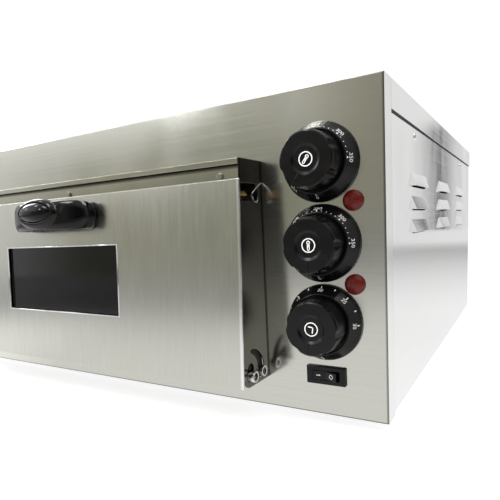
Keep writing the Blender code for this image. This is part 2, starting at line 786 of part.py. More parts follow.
def stone_and_rails():
    """Baking stone on two folded rails."""
    half = STONE_WIDTH / 2
    end = STONE_FRONT + STONE_DEPTH
    low = (DOOR_X - half, STONE_FRONT, STONE_LOW)
    high = (DOOR_X + half, end, STONE_LOW + STONE_THICKNESS)
    box("pizza_stone", low, high, "cordierite", round_by=0.0015)
    for side_name, side in (("left", -1), ("right", 1)):
        wall = DOOR_X + side * (CHAMBER_HALF - SHEET - GAP)
        inner = wall - side * RAIL_WIDTH
        ends = sorted((wall, inner))
        bottom = CHAMBER_LOW + SHEET + GAP
        top = STONE_LOW - GAP
        low = (ends[0], STONE_FRONT, bottom)
        rail = box(f"stone_rail_{side_name}", low, (ends[1], end, top), "galvanised_steel")
        ends = sorted((wall - side * SHEET, inner - side * SHEET))
        hollow = ((ends[0], STONE_FRONT - SHEET, bottom - SHEET), (ends[1], end + SHEET, top - SHEET))
        cut(rail, boxes_mesh(f"{rail.name}_hollow", [hollow]))


def heating_rods():
    for name, z in (("upper_heating_rod", UPPER_ROD_Z), ("lower_heating_rod", LOWER_ROD_Z)):
        tube(name, rod_path(z), ROD_RADIUS, "blued_steel")


def rod_path(z):
    """A double loop that starts and ends at the chamber's back."""
    outer_right = ROD_END_X[1]
    inner_right = ROD_END_X[0] - ROD_LOOP_INSET
    outer_left = 2 * DOOR_X - outer_right
    inner_left = 2 * DOOR_X - inner_right
    inner_near = ROD_NEAR + ROD_LOOP_SETBACK
    left = Vector((-1, 0, 0))
    back = Vector((0, 1, 0))
    corners = [
        (outer_right, ROD_NEAR, left),
        (outer_left, ROD_NEAR, back),
        (outer_left, ROD_FAR, -left),
        (inner_left, ROD_FAR, -back),
        (inner_left, inner_near, -left),
        (inner_right, inner_near, back),
        (inner_right, ROD_FAR, -left),
        (ROD_END_X[0], ROD_FAR, back),
    ]
    points = [Vector((outer_right, ROD_EXIT, z))]
    heading = -back
    for x, y, following in corners:
        centre = Vector((x, y, z)) + (following - heading) * ROD_BEND
        for across, ahead in arc((0, 0), ROD_BEND, 0, pi / 2, 6):
            points.append(centre + heading * ahead - following * across)
        heading = following
    points.append(Vector((ROD_END_X[0], ROD_EXIT, z)))
    return points


# ---- control bay ----
def control_block(name, z, depth):
    """The thermostat or timer body behind a dial, set just behind the panel."""
    start = FRONT + SHEET + GAP
    low = (DIAL_X - BLOCK_HALF_WIDTH, start, z - BLOCK_HALF_HEIGHT)
    high = (DIAL_X + BLOCK_HALF_WIDTH, start + depth, z + BLOCK_HALF_HEIGHT)
    return box(name, low, high, "galvanised_steel", round_by=0.0015)


def dial_plate(name, z):
    """Conical scale skirt fixed to the panel, with a shallow cup that the knob turns in."""
    profile = [
        (SHAFT_HOLE_RADIUS, CUP_FLOOR),
        (CREST_RADIUS - 0.0010, CUP_FLOOR),
        (CREST_RADIUS - 0.0007, CREST_HEIGHT - 0.0004),
        (CREST_RADIUS, CREST_HEIGHT),
        (CREST_RADIUS + 0.0008, CREST_HEIGHT - 0.0003),
        (SKIRT_RADIUS - 0.0007, SKIRT_RIM + 0.0006),
        (SKIRT_RADIUS, SKIRT_RIM - 0.0006),
        (SKIRT_RADIUS, GAP),
        (SHAFT_HOLE_RADIUS, GAP),
    ]
    return turned(name, profile, "black_plastic", (DIAL_X, FRONT, z), (0, -1, 0), DIAL_STEPS, closed=True)


def knob(name, z, pointer):
    """Turning grip with scalloped lobes, a dished face and a short shaft through the panel."""
    axle = pivot(f"{name}_axis", (DIAL_X, FRONT - CUP_FLOOR, z))
    shaft = SHAFT_HOLE_RADIUS - 0.0010
    inner_end = -CUP_FLOOR - SHEET + GAP
    profile = [
        (0, KNOB_LENGTH - DISH_DEPTH),
        (DISH_RADIUS - 0.0022, KNOB_LENGTH - DISH_DEPTH),
        (DISH_RADIUS, KNOB_LENGTH),
        (KNOB_RADIUS - 0.0018, KNOB_LENGTH - 0.0002),
        (KNOB_RADIUS - 0.0006, KNOB_LENGTH - 0.0012),
        (KNOB_RADIUS - 0.0002, KNOB_LENGTH - 0.0030),
        (KNOB_RADIUS + 0.0006, GAP),
        (shaft, GAP),
        (shaft, inner_end),
        (0, inner_end),
    ]
    piece = turned(name, profile, "black_plastic", (0, 0, 0), (0, -1, 0), DIAL_STEPS, axle)
    form = bmesh.new()
    for lobe in range(KNOB_LOBES):
        angle = pointer + 2 * pi * (lobe + 0.5) / KNOB_LOBES
        start = (SCALLOP_ROOT_RING * cos(angle), CUP_FLOOR, SCALLOP_ROOT_RING * sin(angle))
        end = (SCALLOP_FACE_RING * cos(angle), -KNOB_LENGTH - CUP_FLOOR, SCALLOP_FACE_RING * sin(angle))
        add_cylinder(form, start, end, SCALLOP_RADIUS, steps=20)
    cut(piece, mesh_of(f"{name}_scallops", form), axle)
    low = (DISH_RADIUS, -KNOB_LENGTH - SHEET, -POINTER_WIDTH / 2)
    high = (KNOB_RADIUS + SHEET, POINTER_DEPTH - KNOB_LENGTH, POINTER_WIDTH / 2)
    groove = boxes_mesh(f"{name}_pointer", [(low, high)])
    return cut(piece, moved(groove, Matrix.Rotation(-pointer, 4, "Y")), axle)


def indicator_lamp(name, z):
    """Domed ruby lens with a thin flange and a barrel through the panel."""
    barrel = LAMP_HOLE_RADIUS - GAP
    profile = [
        (0, 0.0042),
        (0.0030, 0.0040),
        (0.0056, 0.0033),
        (LAMP_RADIUS - 0.0010, 0.0022),
        (LAMP_RADIUS, 0.0014),
        (LAMP_RADIUS, GAP),
        (barrel, GAP),
        (barrel, -LAMP_BARREL),
        (0, -LAMP_BARREL),
    ]
    return turned(name, profile, "ruby_lens", (LAMP_X, FRONT, z), (0, -1, 0), 28)


def switch_box(halves, start, end):
    """Two corners of a box about the rocker switch's middle, from one depth to another."""
    return (
        (ROCKER_X - halves[0], FRONT + start, ROCKER_Z - halves[1]),
        (ROCKER_X + halves[0], FRONT + end, ROCKER_Z + halves[1]),
    )


def switch_bezel():
    """Frame and body of the power switch, with the socket that its rocker tips in."""
    low, high = switch_box(BEZEL_HALVES, -BEZEL_RISE, -GAP)
    barrel = switch_box(BARREL_HALVES, -BEZEL_RISE / 2, SWITCH_DEPTH)
    socket = switch_box(SOCKET_HALVES, -2 * BEZEL_RISE, SOCKET_DEPTH)
    bezel = box("switch_bezel", low, high, "black_plastic", round_by=0.0008)
    join(bezel, boxes_mesh("switch_barrel", [barrel]))
    return cut(bezel, boxes_mesh("switch_socket", [socket]))


def power_rocker():
    """Shallow V-shaped key, tipped so that its pressed half lies almost level with the bezel."""
    axle = pivot("power_rocker_axis", (ROCKER_X, FRONT + 0.0010, ROCKER_Z))
    level = [
        (-ROCKER_HALF, -0.0058),
        (0, -0.0030),
        (ROCKER_HALF, -0.0058),
        (ROCKER_HALF - 0.0006, 0.0010),
        (0.0006 - ROCKER_HALF, 0.0010),
    ]
    lean = -ROCKER_TILT / 2
    profile = [(x * cos(lean) - y * sin(lean), x * sin(lean) + y * cos(lean)) for x, y in level]
    data = outline_mesh("power_rocker", [profile], ROCKER_THICKNESS)
    return rounded(place("power_rocker", data, "black_plastic", axle), 0.0004)


def sensor(name, block_z, y, z):
    """A thermostat's capillary: out of its block, across the control bay and on into the chamber."""
    start = FRONT + SHEET + 2 * GAP + THERMOSTAT_DEPTH
    exit_z = block_z - SENSOR_BEND
    points = [
        (DIAL_X, start, exit_z),
        (DIAL_X, y - SENSOR_BEND, exit_z),
        (DIAL_X - SENSOR_BEND / 3, y - SENSOR_BEND / 3, exit_z - SENSOR_RADIUS),
        (DIAL_X - SENSOR_BEND, y, z + SENSOR_BEND),
        (DIAL_X - 2 * SENSOR_BEND, y, z),
        (SENSOR_TIP_X, y, z),
    ]
    return tube(name, points, SENSOR_RADIUS, "copper", resolution=1)


def terminal_block():
    """Ceramic mains terminal with three screw wells."""
    x, y = TERMINAL_PLACE
    half_x, half_y = TERMINAL_HALVES
    low = (x - half_x, y - half_y, BASE + SHEET + GAP)
    body = box("terminal_block", low, (x + half_x, y + half_y, TERMINAL_TOP), "white_ceramic", round_by=0.001)
    wells = []
    for column in (-1, 0, 1):
        well_x = x + TERMINAL_PITCH * column
        bottom = (well_x, y, TERMINAL_TOP - TERMINAL_WELL_DEPTH)
        wells.append((bottom, (well_x, y, TERMINAL_TOP + SHEET), TERMINAL_WELL_RADIUS))
    return cut(body, cylinders_mesh("terminal_screw_wells", wells, 12))


def cable_gland():
    """Inlet gland in the back wall, its bore open right through."""
    reach = BACK + GLAND_REACH - REAR_FACE
    profile = [
        (GLAND_BORE_RADIUS, reach),
        (GLAND_THREAD_RADIUS, reach),
        (GLAND_NUT_RADIUS - 0.0020, reach - 0.0035),
        (GLAND_NUT_RADIUS, reach - 0.0060),
        (GLAND_NUT_RADIUS, GAP),
        (GLAND_THREAD_RADIUS, GAP),
        (GLAND_THREAD_RADIUS, -GLAND_THREAD_LENGTH),
        (GLAND_BORE_RADIUS, -GLAND_THREAD_LENGTH),
    ]
    location = (GLAND_PLACE[0], REAR_FACE, GLAND_PLACE[1])
    return turned("cable_gland", profile, "black_plastic", location, (0, 1, 0), 24, closed=True)


def mains_loom():
    """Wires from the terminal block, forward through the control bay to the power switch."""
    x, y = TERMINAL_PLACE
    start_x = x - TERMINAL_PITCH / 2
    level = TERMINAL_TOP + 0.016
    path = [
        (start_x, y, TERMINAL_TOP + GAP),
        (start_x, y, TERMINAL_TOP + 0.006),
        (start_x, y - 0.004, TERMINAL_TOP + 0.013),
        (start_x, y - 0.014, level),
        (x, y - 0.050, level),
        (ROCKER_X, FRONT + 0.090, ROCKER_Z),
        (ROCKER_X, FRONT + SWITCH_DEPTH + 2 * GAP, ROCKER_Z),
    ]
    return tube("mains_loom", path, LOOM_RADIUS, "red_wire", resolution=1)


# ---- door ----
def door_frame():
    """The door's own axes: the origin is on the hinge line, and Z runs up the leaning door."""
    return pivot("door_hinge_axis", (DOOR_X, HINGE_Y, HINGE_Z), (-DOOR_LEAN, 0, 0))


def window_hole(name, start, end):
    """Cutter of the window, from one depth to another."""
    half = WINDOW_WIDTH / 2
    return boxes_mesh(name, [((-half, start, WINDOW_LOW), (half, end, WINDOW_HIGH))])


def door_skin(door):
    """Outer sheet of the door, doubled by its hem, with a sharp-edged window."""
    half = DOOR_WIDTH / 2
    skin = box(
        "door_skin",
        (-half, -DOOR_FACE, -DOOR_DROP),
        (half, -DOOR_FACE + DOOR_SKIN, DOOR_HEIGHT - DOOR_DROP),
        "satin_steel",
        door,
    )
    cut(skin, window_hole("door_skin_window", -DOOR_FACE - SHEET, -DOOR_FACE + DOOR_SKIN + SHEET), door)
    return rounded(skin, 0.0006)


def door_pan(door):
    """Inner box of the door: a tray that holds the glass off the chamber."""
    half = PAN_WIDTH / 2
    start = -DOOR_FACE + DOOR_SKIN + GAP
    end = start + PAN_DEPTH
    pan = box("door_pan", (-half, start, PAN_LOW), (half, end, PAN_HIGH), "satin_steel", door)
    hollow = (
        (-half + SHEET, start - SHEET, PAN_LOW + SHEET),
        (half - SHEET, end - SHEET, PAN_HIGH - SHEET),
    )
    cut(pan, boxes_mesh("door_pan_inside", [hollow]), door)
    return cut(pan, window_hole("door_pan_window", start - SHEET, end + SHEET), door)


def window(door):
    """Outer pane behind the skin, inner pane against the pan, and a frame of wool board between them."""
    half = WINDOW_WIDTH / 2 + GLASS_BORDER
    low = WINDOW_LOW - GLASS_BORDER
    high = WINDOW_HIGH + GLASS_BORDER
    start = -DOOR_FACE + DOOR_SKIN + 2 * GAP
    end = -DOOR_FACE + DOOR_SKIN + PAN_DEPTH - SHEET
    box("window_outer_pane", (-half, start, low), (half, start + GLASS_THICKNESS, high), "glass", door)
    box("window_inner_pane", (-half, end - GLASS_THICKNESS, low), (half, end, high), "glass", door)
    frame_start = start + GLASS_THICKNESS + GAP
    frame_end = end - GLASS_THICKNESS - GAP
    wool_half = PAN_WIDTH / 2 - SHEET - GAP
    wool = box(
        "door_insulation",
        (-wool_half, frame_start, PAN_LOW + SHEET + GAP),
        (wool_half, frame_end, PAN_HIGH - SHEET - GAP),
        "mineral_wool",
        door,
    )
    cut(wool, window_hole("door_insulation_window", frame_start - SHEET, frame_end + SHEET), door)


def handle(door):
    """Bowed black handle: an arched band with rounded ends and an oval boss raised on its crown."""
    outer = bow(HANDLE_HALF, HANDLE_STAND)
    inner = bow(HANDLE_HALF - HANDLE_FOOT, HANDLE_STAND - HANDLE_BAND)
    data = outline_mesh("handle", [outer + inner[::-1]], HANDLE_HEIGHT)
    band = place("handle", moved(data, Matrix.Translation((HANDLE_X, 0, HANDLE_Z))), "gloss_black", door)
    boolean(band, tool("handle_front_shape", handle_front_shape(), door), "INTERSECT")
    rounded(band, HANDLE_EDGE, segments=3, angle=50)
    form = bmesh.new()
    add_cylinder(form, (0, 0, -2 * RIM_HEIGHT), (0, 0, RIM_HEIGHT), 1.0, steps=DIAL_STEPS)
    rim = moved(mesh_of("handle_rim", form), Matrix.Diagonal((*RIM_HALVES, 1.0, 1.0)))
    return smooth(join(band, moved(rim, crown_facing(RIM_LIFT)), door), 50)


def handle_front_shape():
    """Rounded rectangle that the handle fills when it is seen from the front."""
    half_x = HANDLE_HALF - HANDLE_CORNER
    half_z = HANDLE_HEIGHT / 2 - HANDLE_CORNER
    loop = []
    corners = ((half_x, half_z), (-half_x, half_z), (-half_x, -half_z), (half_x, -half_z))
    for quarter, corner in enumerate(corners):
        loop += arc(corner, HANDLE_CORNER, quarter * pi / 2, (quarter + 1) * pi / 2, 7)
    data = outline_mesh("handle_front_shape", [loop], 4 * HANDLE_STAND)
    upright = Matrix.Rotation(radians(90), 4, "X")
    return moved(data, Matrix.Translation((HANDLE_X, -DOOR_FACE - 2 * HANDLE_STAND, HANDLE_Z)) @ upright)


def crown_facing(lift):
    """A place on the handle's crown, a little above its middle, with +Z out of it."""
    return Matrix.Translation((HANDLE_X, -CROWN, HANDLE_Z + lift)) @ Matrix.Rotation(radians(90), 4, "X")


def handle_button(door):
    """Domed oval button on the boss."""
    form = bmesh.new()
    bmesh.ops.create_uvsphere(form, u_segments=28, v_segments=14, radius=1.0)
    lower = [face for face in form.faces if face.calc_center_median().z < 0]
    bmesh.ops.delete(form, geom=lower, context="FACES")
    bmesh.ops.holes_fill(form, edges=[edge for edge in form.edges if edge.is_boundary])
    data = mesh_of("handle_button", form)
    data.transform(Matrix.Diagonal((*BUTTON_HALVES, BUTTON_RISE, 1.0)))
    data.transform(crown_facing(BUTTON_LIFT) @ Matrix.Translation((0, 0, RIM_HEIGHT + GAP)))
    smooth(place("handle_button", data, "gloss_black", door))


def bow(half, stand):
    """Half an oval flattened at its crown, as points in front of the door, from one end to the other."""
    points = []
    for across, out in arc((0, 0), 1.0, 0, pi, 19):
        points.append((half * across, -DOOR_FACE - GAP - stand * abs(out) ** 0.62))
    return points


def hinge_brackets(door):
    """Plate beside the pan on each side, with the hinge and stop tubes that cross the cheek plate."""
    inner = PAN_WIDTH / 2 + GAP
    middle = inner + BRACKET_SHEET / 2
    stop_angle = STOP_REST_ANGLE + DOOR_LEAN
    stop = (STOP_ARM * cos(stop_angle), STOP_ARM * sin(stop_angle))
    loop = arc(stop, STOP_TUBE_RADIUS + SHEET, radians(-90), radians(20), 6)
    loop += [(STOP_ARM - SHEET, BRACKET_TOP), (-BRACKET_EDGE, BRACKET_TOP)]
    loop += arc((0, 0), BRACKET_EDGE, radians(180), radians(270), 6)
    hinge_end = SURROUND_HALF + HINGE_TUBE_REACH
    head = (SURROUND_HALF + GAP, SURROUND_HALF + STOP_TUBE_REACH)
    rods = (
        ((0, 0), middle, hinge_end, HINGE_TUBE_RADIUS),
        (stop, middle, head[1] - STOP_BORE_DEPTH - GAP, STOP_NECK_RADIUS),
        (stop, head[0], head[1], STOP_TUBE_RADIUS),
    )
    hollows = (((0, 0), inner - SHEET, hinge_end + SHEET), (stop, head[1] - STOP_BORE_DEPTH, head[1] + SHEET))
    for side_name, side in (("left", -1), ("right", 1)):
        name = f"hinge_bracket_{side_name}"
        plate_mesh = side_profile(outline_mesh(name, [loop], BRACKET_SHEET), side * middle)
        plate = place(name, plate_mesh, "chrome", door)
        tubes = [((side * a, *centre), (side * b, *centre), radius) for centre, a, b, radius in rods]
        bores = [((side * a, *centre), (side * b, *centre), TUBE_BORE_RADIUS) for centre, a, b in hollows]
        for number, rod in enumerate(tubes):
            join(plate, cylinders_mesh(f"{name}_tube_{number}", [rod], 24), door)
        smooth(cut(plate, cylinders_mesh(f"{name}_bores", bores, 20), door))


def latch_studs(door):
    """Brass stud with a washer on the back of the skin, seen through the notch of the cheek plate."""
    profile = [
        (0, 0.0190),
        (0.0030, 0.0186),
        (0.0039, 0.0176),
        (0.0040, 0.0060),
        (0.0030, 0.0056),
        (0.0030, 0.0016),
        (0.0055, 0.0014),
        (0.0055, 0),
        (0, 0),
    ]
    for side_name, side in (("left", -1), ("right", 1)):
        location = (side * STUD_X, -DOOR_FACE + DOOR_SKIN + GAP, STUD_Z)
        turned(f"latch_stud_{side_name}", profile, "brass", location, (0, 1, 0), 16, door)


def spring_wires():
    """Bent spring wire on the outside of each cheek plate, hooked beside the notch."""
    for side_name, side in (("left", -1), ("right", 1)):
        x = DOOR_X + side * (SURROUND_HALF + SPRING_RADIUS + GAP)
        points = [(x, FRONT - depth, BASE + height) for depth, height in SPRING_PATH]
        tube(f"spring_wire_{side_name}", points, SPRING_RADIUS, "chrome", resolution=1)


def controls():
    """Everything on the control strip and behind it."""
    names = ("upper", "lower", "timer")
    blocks = ("thermostat_upper", "thermostat_lower", "timer_block")
    depths = (THERMOSTAT_DEPTH, THERMOSTAT_DEPTH, TIMER_DEPTH)
    for name, z, pointer, block, depth in zip(names, DIAL_Z, KNOB_POINTER, blocks, depths):
        control_block(block, z, depth)
        dial_plate(f"dial_plate_{name}", z)
        knob(f"knob_{name}", z, pointer)
    for name, z in zip(names, LAMP_Z):
        indicator_lamp(f"indicator_lamp_{name}", z)
    for name, block_z, y, z in zip(("upper_sensor", "lower_sensor"), DIAL_Z, SENSOR_Y, SENSOR_Z):
        sensor(name, block_z, y, z)
    switch_bezel()
    power_rocker()
    terminal_block()
    cable_gland()
    mains_loom()


def door_leaf():
    """The drop-down door and all that is fixed to it."""
    door = door_frame()
    door_skin(door)
    door_pan(door)
    window(door)
    handle(door)
    handle_button(door)
    hinge_brackets(door)
    latch_studs(door)


def build():
    front_panel()
    top_cover()
    side_panel("side_panel_left", -1)
    side_panel("side_panel_right", 1)
    back_panel()
    base_pan()
    feet()
    surround_side("surround_side_left", -1)
    surround_side("surround_side_right", 1)
    surround_top()
    surround_band()
    spring_wires()
    chamber()
    insulation()
    control_partition()
    stone_and_rails()
    heating_rods()
    controls()
    door_leaf()


build()
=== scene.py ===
import json
from math import atan2, cos, hypot, pi, radians, sin

import bmesh
import bpy
from mathutils import Euler, Matrix, Vector


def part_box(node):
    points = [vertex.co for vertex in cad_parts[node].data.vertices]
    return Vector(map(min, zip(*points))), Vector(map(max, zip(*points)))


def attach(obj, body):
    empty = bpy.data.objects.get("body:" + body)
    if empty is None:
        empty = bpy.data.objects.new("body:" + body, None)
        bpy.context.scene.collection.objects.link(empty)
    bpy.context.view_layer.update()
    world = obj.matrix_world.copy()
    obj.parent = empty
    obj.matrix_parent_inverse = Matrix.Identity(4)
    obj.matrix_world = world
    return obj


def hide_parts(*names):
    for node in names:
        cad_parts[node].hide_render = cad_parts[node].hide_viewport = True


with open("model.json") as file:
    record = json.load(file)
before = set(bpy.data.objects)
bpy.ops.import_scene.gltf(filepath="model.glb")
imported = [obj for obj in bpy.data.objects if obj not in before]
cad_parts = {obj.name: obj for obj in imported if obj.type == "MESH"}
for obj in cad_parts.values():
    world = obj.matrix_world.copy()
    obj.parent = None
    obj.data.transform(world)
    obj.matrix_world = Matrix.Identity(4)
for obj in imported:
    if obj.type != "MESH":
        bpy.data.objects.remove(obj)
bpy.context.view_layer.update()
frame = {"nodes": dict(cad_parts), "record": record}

NODES = frame["nodes"]
JOINTS = {joint["name"]: joint["pos_m"] for joint in frame["record"]["behaviour"]["joints"]}

# ---- camera: its place, its turn about x, y and z in degrees, and its lens and film in millimetres ----
CAMERA_PLACE = (0.38220, -0.61978, 0.17319)
CAMERA_TURN = (83.5825, 2.8653, 31.3866)
LENS = 34.127
SENSOR = 36.0
SHIFT = (0.02220, 0.05917)
NEAR_CLIP = 0.01

# ---- steel: its tones, and how its brush lines are stretched along each axis ----
STEEL = (0.60, 0.60, 0.555)
STRAW = (0.48, 0.47, 0.40)
# The recessed band's steel: a little darker than STRAW as painted shade.
STRAW_SHADED = (0.46, 0.45, 0.38)
# The cheek plates' steel, painted dark as shade.
SHADED_CHEEK_TONE = (0.17, 0.166, 0.145)
SIDEWAYS = (2.0, 2.0, 650.0)
SIDEWAYS_FINE = (1.5, 1.5, 500.0)
UPRIGHT = (420.0, 420.0, 2.0)


# ------------------------------------------------------------------ shader helpers

class Graph:
    """Short way to write a node tree."""

    def __init__(self, tree):
        self.tree = tree
        self.tree.nodes.clear()

    def node(self, kind, **inputs):
        made = self.tree.nodes.new(kind)
        for key, value in inputs.items():
            if key.startswith("p_"):
                setattr(made, key[2:], value)
            else:
                self.feed(made, key.replace("_", " "), value)
        return made

    def feed(self, made, key, value):
        socket = made.inputs[int(key)] if key.isdigit() else made.inputs[key]
        if isinstance(value, bpy.types.NodeSocket):
            self.tree.links.new(value, socket)
        else:
            socket.default_value = value

    def math(self, operation, first, second=0.0):
        made = self.node("ShaderNodeMath", p_operation=operation)
        self.feed(made, "0", first)
        self.feed(made, "1", second)
        return made.outputs[0]

    def ramp(self, factor, stops):
        made = self.node("ShaderNodeValToRGB")
        elements = made.color_ramp.elements
        while len(elements) > 1:
            elements.remove(elements[-1])
        elements[0].position = stops[0][0]
        elements[0].color = colour(stops[0][1])
        for position, value in stops[1:]:
            elements.new(position).color = colour(value)
        self.feed(made, "Fac", factor)
        return made.outputs["Color"]

    def mix(self, factor, first, second):
        made = self.node("ShaderNodeMix", p_data_type="RGBA")
        self.feed(made, "0", factor)
        self.feed(made, "6", first)
        self.feed(made, "7", second)
        return made.outputs[2]

    def remap(self, value, low, high, to_low=0.0, to_high=1.0):
        made = self.node("ShaderNodeMapRange", p_clamp=True)
        for key, number in zip("01234", (value, low, high, to_low, to_high)):
            self.feed(made, key, number)
        return made.outputs[0]

    def place(self, scale=(1, 1, 1), turn=(0, 0, 0)):
        coordinates = self.node("ShaderNodeTexCoord").outputs["Object"]
        made = self.node("ShaderNodeMapping", Vector=coordinates, Scale=scale, Rotation=turn)
        return made.outputs[0]

    def noise(self, vector, scale, detail=3.0, roughness=0.55):
        made = self.node("ShaderNodeTexNoise", Vector=vector, Scale=scale, Detail=detail, Roughness=roughness)
        return made.outputs["Fac"]

    def bump(self, height, strength, distance, normal=None):
        made = self.node("ShaderNodeBump", Height=height, Strength=strength, Distance=distance)
        if normal is not None:
            self.feed(made, "Normal", normal)
        return made.outputs[0]

    def axes(self, vector=None):
        """The x, y and z of a vector; of the place on the object when none is given."""
        return self.node("ShaderNodeSeparateXYZ", Vector=self.place() if vector is None else vector).outputs

    def edge(self, radius):
        """A rounded normal, and a mask that is 1 along edges."""
        soft = self.node("ShaderNodeBevel", Radius=radius, p_samples=6).outputs[0]
        true = self.node("ShaderNodeNewGeometry").outputs["Normal"]
        dot = self.node("ShaderNodeVectorMath", p_operation="DOT_PRODUCT")
        self.feed(dot, "0", soft)
        self.feed(dot, "1", true)
        return soft, self.remap(dot.outputs["Value"], 0.995, 0.80)


def colour(value):
    if isinstance(value, (int, float)):
        return (value, value, value, 1.0)
    return (*value, 1.0)


def material(name, body):
    """A material whose tree is filled in by body(graph, shader)."""
    made = bpy.data.materials.new(name)
    made.use_nodes = True
    graph = Graph(made.node_tree)
    shader = graph.node("ShaderNodeBsdfPrincipled")
    out = graph.node("ShaderNodeOutputMaterial")
    made.node_tree.links.new(shader.outputs[0], out.inputs["Surface"])
    body(graph, shader)
    return made


def scaled(tone, factor, plus=0.0):
    """The tone made lighter or darker, held below full brightness."""
    return tuple(min(1.0, part * factor + plus) for part in tone)


def sheet_steel(tone, rough, grain, brush, shade=None):
    """Stainless sheet: brush lines, clouds, a wavy surface, bright worn edges, and a local change of tone
    that paints shade and highlights.
    """
    def body(g, s):
        lines = g.noise(g.place(brush), 1.0, 4.0, 0.7)
        fine = g.noise(g.place(tuple(3.1 * part for part in brush)), 1.0, 2.0, 0.6)
        clouds = g.noise(g.place(), 7.0, 4.0, 0.55)
        smears = g.noise(g.place((3.0, 3.0, 1.0), (0.3, 0.2, 0.4)), 9.0, 5.0, 0.6)
        streak = g.math("ADD", g.math("MULTIPLY", lines, 0.6), g.math("MULTIPLY", fine, 0.4))
        dark, light = colour(scaled(tone, 1 - grain)), colour(scaled(tone, 1 + grain))
        base = g.mix(g.remap(streak, 0.3, 0.7), dark, light)
        warm = (tone[0] * 1.03, tone[1], tone[2] * 0.93)
        base = g.mix(g.remap(clouds, 0.40, 0.75, 0.0, 0.5), base, colour(warm))
        soft, mask = g.edge(0.0007)
        base = g.mix(g.math("MULTIPLY", mask, 0.7), base, colour(scaled(tone, 1.25, 0.06)))
        g.feed(s, "Base Color", shade(g, base) if shade else base)
        g.feed(s, "Metallic", 1.0)
        wide = g.remap(smears, 0.35, 0.70, rough - 0.024, rough + 0.036)
        g.feed(s, "Roughness", g.math("ADD", wide, g.remap(streak, 0.3, 0.7, -0.02, 0.02)))
        waves = g.noise(g.place(), 5.0, 1.0, 0.4)
        g.feed(s, "Normal", g.bump(streak, 0.05, 0.00010, g.bump(waves, 0.25, 0.0010, soft)))
    return body


def metal(tone, rough, clump):
    """Plain metal with small tone and gloss changes."""
    def body(g, s):
        spots = g.noise(g.place(), clump, 5.0, 0.6)
        large = g.noise(g.place(), clump * 0.12, 3.0, 0.5)
        base = g.mix(g.remap(spots, 0.3, 0.7), colour(scaled(tone, 0.80)), colour(tone))
        soft, mask = g.edge(0.0004)
        g.feed(s, "Base Color", g.mix(g.math("MULTIPLY", mask, 0.5), base, colour(scaled(tone, 1.3))))
        g.feed(s, "Metallic", 1.0)
        g.feed(s, "Roughness", g.remap(large, 0.3, 0.7, rough * 0.8, rough * 1.3))
        g.feed(s, "Normal", g.bump(spots, 0.2, 0.00006, soft))
    return body


# Painted shade and highlights on the steel: each pair says how far from an edge the change starts and is
# full.
CORNER_LINE = (0.0022, 0.0008)
FOOT_LINE = (0.0011, 0.0006)
HEM_LINE = (0.0030, 0.0018)
DOOR_SEAM = (0.0018, 0.0010)
WALL_SEAM = (0.0026, 0.0012)
LIP_LINE = (0.0068, 0.0044)
# How far the shut door's back stands in front of the panel, at the foot and at the top of the cheek plate.
DOOR_BACK_LOW = 0.0437
DOOR_BACK_HIGH = 0.0342


def flange_and_painted_shade(g, base):
    """The flange round the panel's corner is given a bright tone where it faces sideways; a painted dark
    reflection runs along the fold and a painted shadow along the panel's foot.
    """
    normal = g.node("ShaderNodeNewGeometry").outputs["True Normal"]
    sideways = g.math("ABSOLUTE", g.axes(normal)[0])
    low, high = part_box("front_panel")
    x, _, z = g.axes()
    fold = g.remap(g.math("ABSOLUTE", x), high[0] - CORNER_LINE[0], high[0] - CORNER_LINE[1], 0.0, 0.75)
    foot = g.remap(z, low[2] + FOOT_LINE[0], low[2] + FOOT_LINE[1], 0.0, 0.8)
    # Painted dark reflection along the corner's fold and painted shadow along the panel's foot.
    base = g.mix(g.math("MAXIMUM", fold, foot), base, colour((0.09, 0.088, 0.075)))
    return g.mix(g.remap(sideways, 0.6, 0.8), base, colour((0.86, 0.86, 0.85)))


def painted_hem_highlight(g, base):
    """Painted highlight along the rolled sides of the door's skin."""
    low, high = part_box("door_skin")
    middle = (low[0] + high[0]) / 2
    half = high[0] - middle
    across = g.math("ABSOLUTE", g.math("SUBTRACT", g.axes()[0], middle))
    return g.mix(g.remap(across, half - HEM_LINE[0], half - HEM_LINE[1], 0.0, 0.75), base, colour(0.95))


def painted_seam_shadows(g, base):
    """Painted shadow lines where the cheek plate meets the front panel and where the door closes against it.
    """
    low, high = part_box("surround_side_right")
    wall = high[1]
    _, y, z = g.axes()
    door_back = g.remap(z, low[2], high[2], wall - DOOR_BACK_LOW, wall - DOOR_BACK_HIGH)
    near_door = g.remap(g.math("SUBTRACT", y, door_back), DOOR_SEAM[0], DOOR_SEAM[1])
    near_wall = g.remap(y, wall - WALL_SEAM[0], wall - WALL_SEAM[1])
    dark = g.math("MAXIMUM", near_door, near_wall)
    # Painted shadow along both seams.
    return g.mix(g.math("MULTIPLY", dark, 0.9), base, colour((0.022, 0.018, 0.014)))


def painted_lip_shade(g, base):
    """Painted shade in the step under the hood's lip."""
    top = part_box("surround_band")[1][2]
    shade = g.remap(g.axes()[2], top - LIP_LINE[0], top - LIP_LINE[1], 0.0, 0.9)
    return g.mix(shade, base, colour((0.05, 0.048, 0.038)))


# The stop pin stands on an arm from the hinge line, leaning down by a few degrees.
PIN_ARM = 0.0205
PIN_LEAN = radians(-3)
PIN_Y = JOINTS["door_hinge"][1] + PIN_ARM * cos(PIN_LEAN)
PIN_Z = JOINTS["door_hinge"][2] + PIN_ARM * sin(PIN_LEAN)
PIN_BORE = 0.0031
PIN_BORE_DEPTH = 0.0029
PLATE_FADE = 0.0006


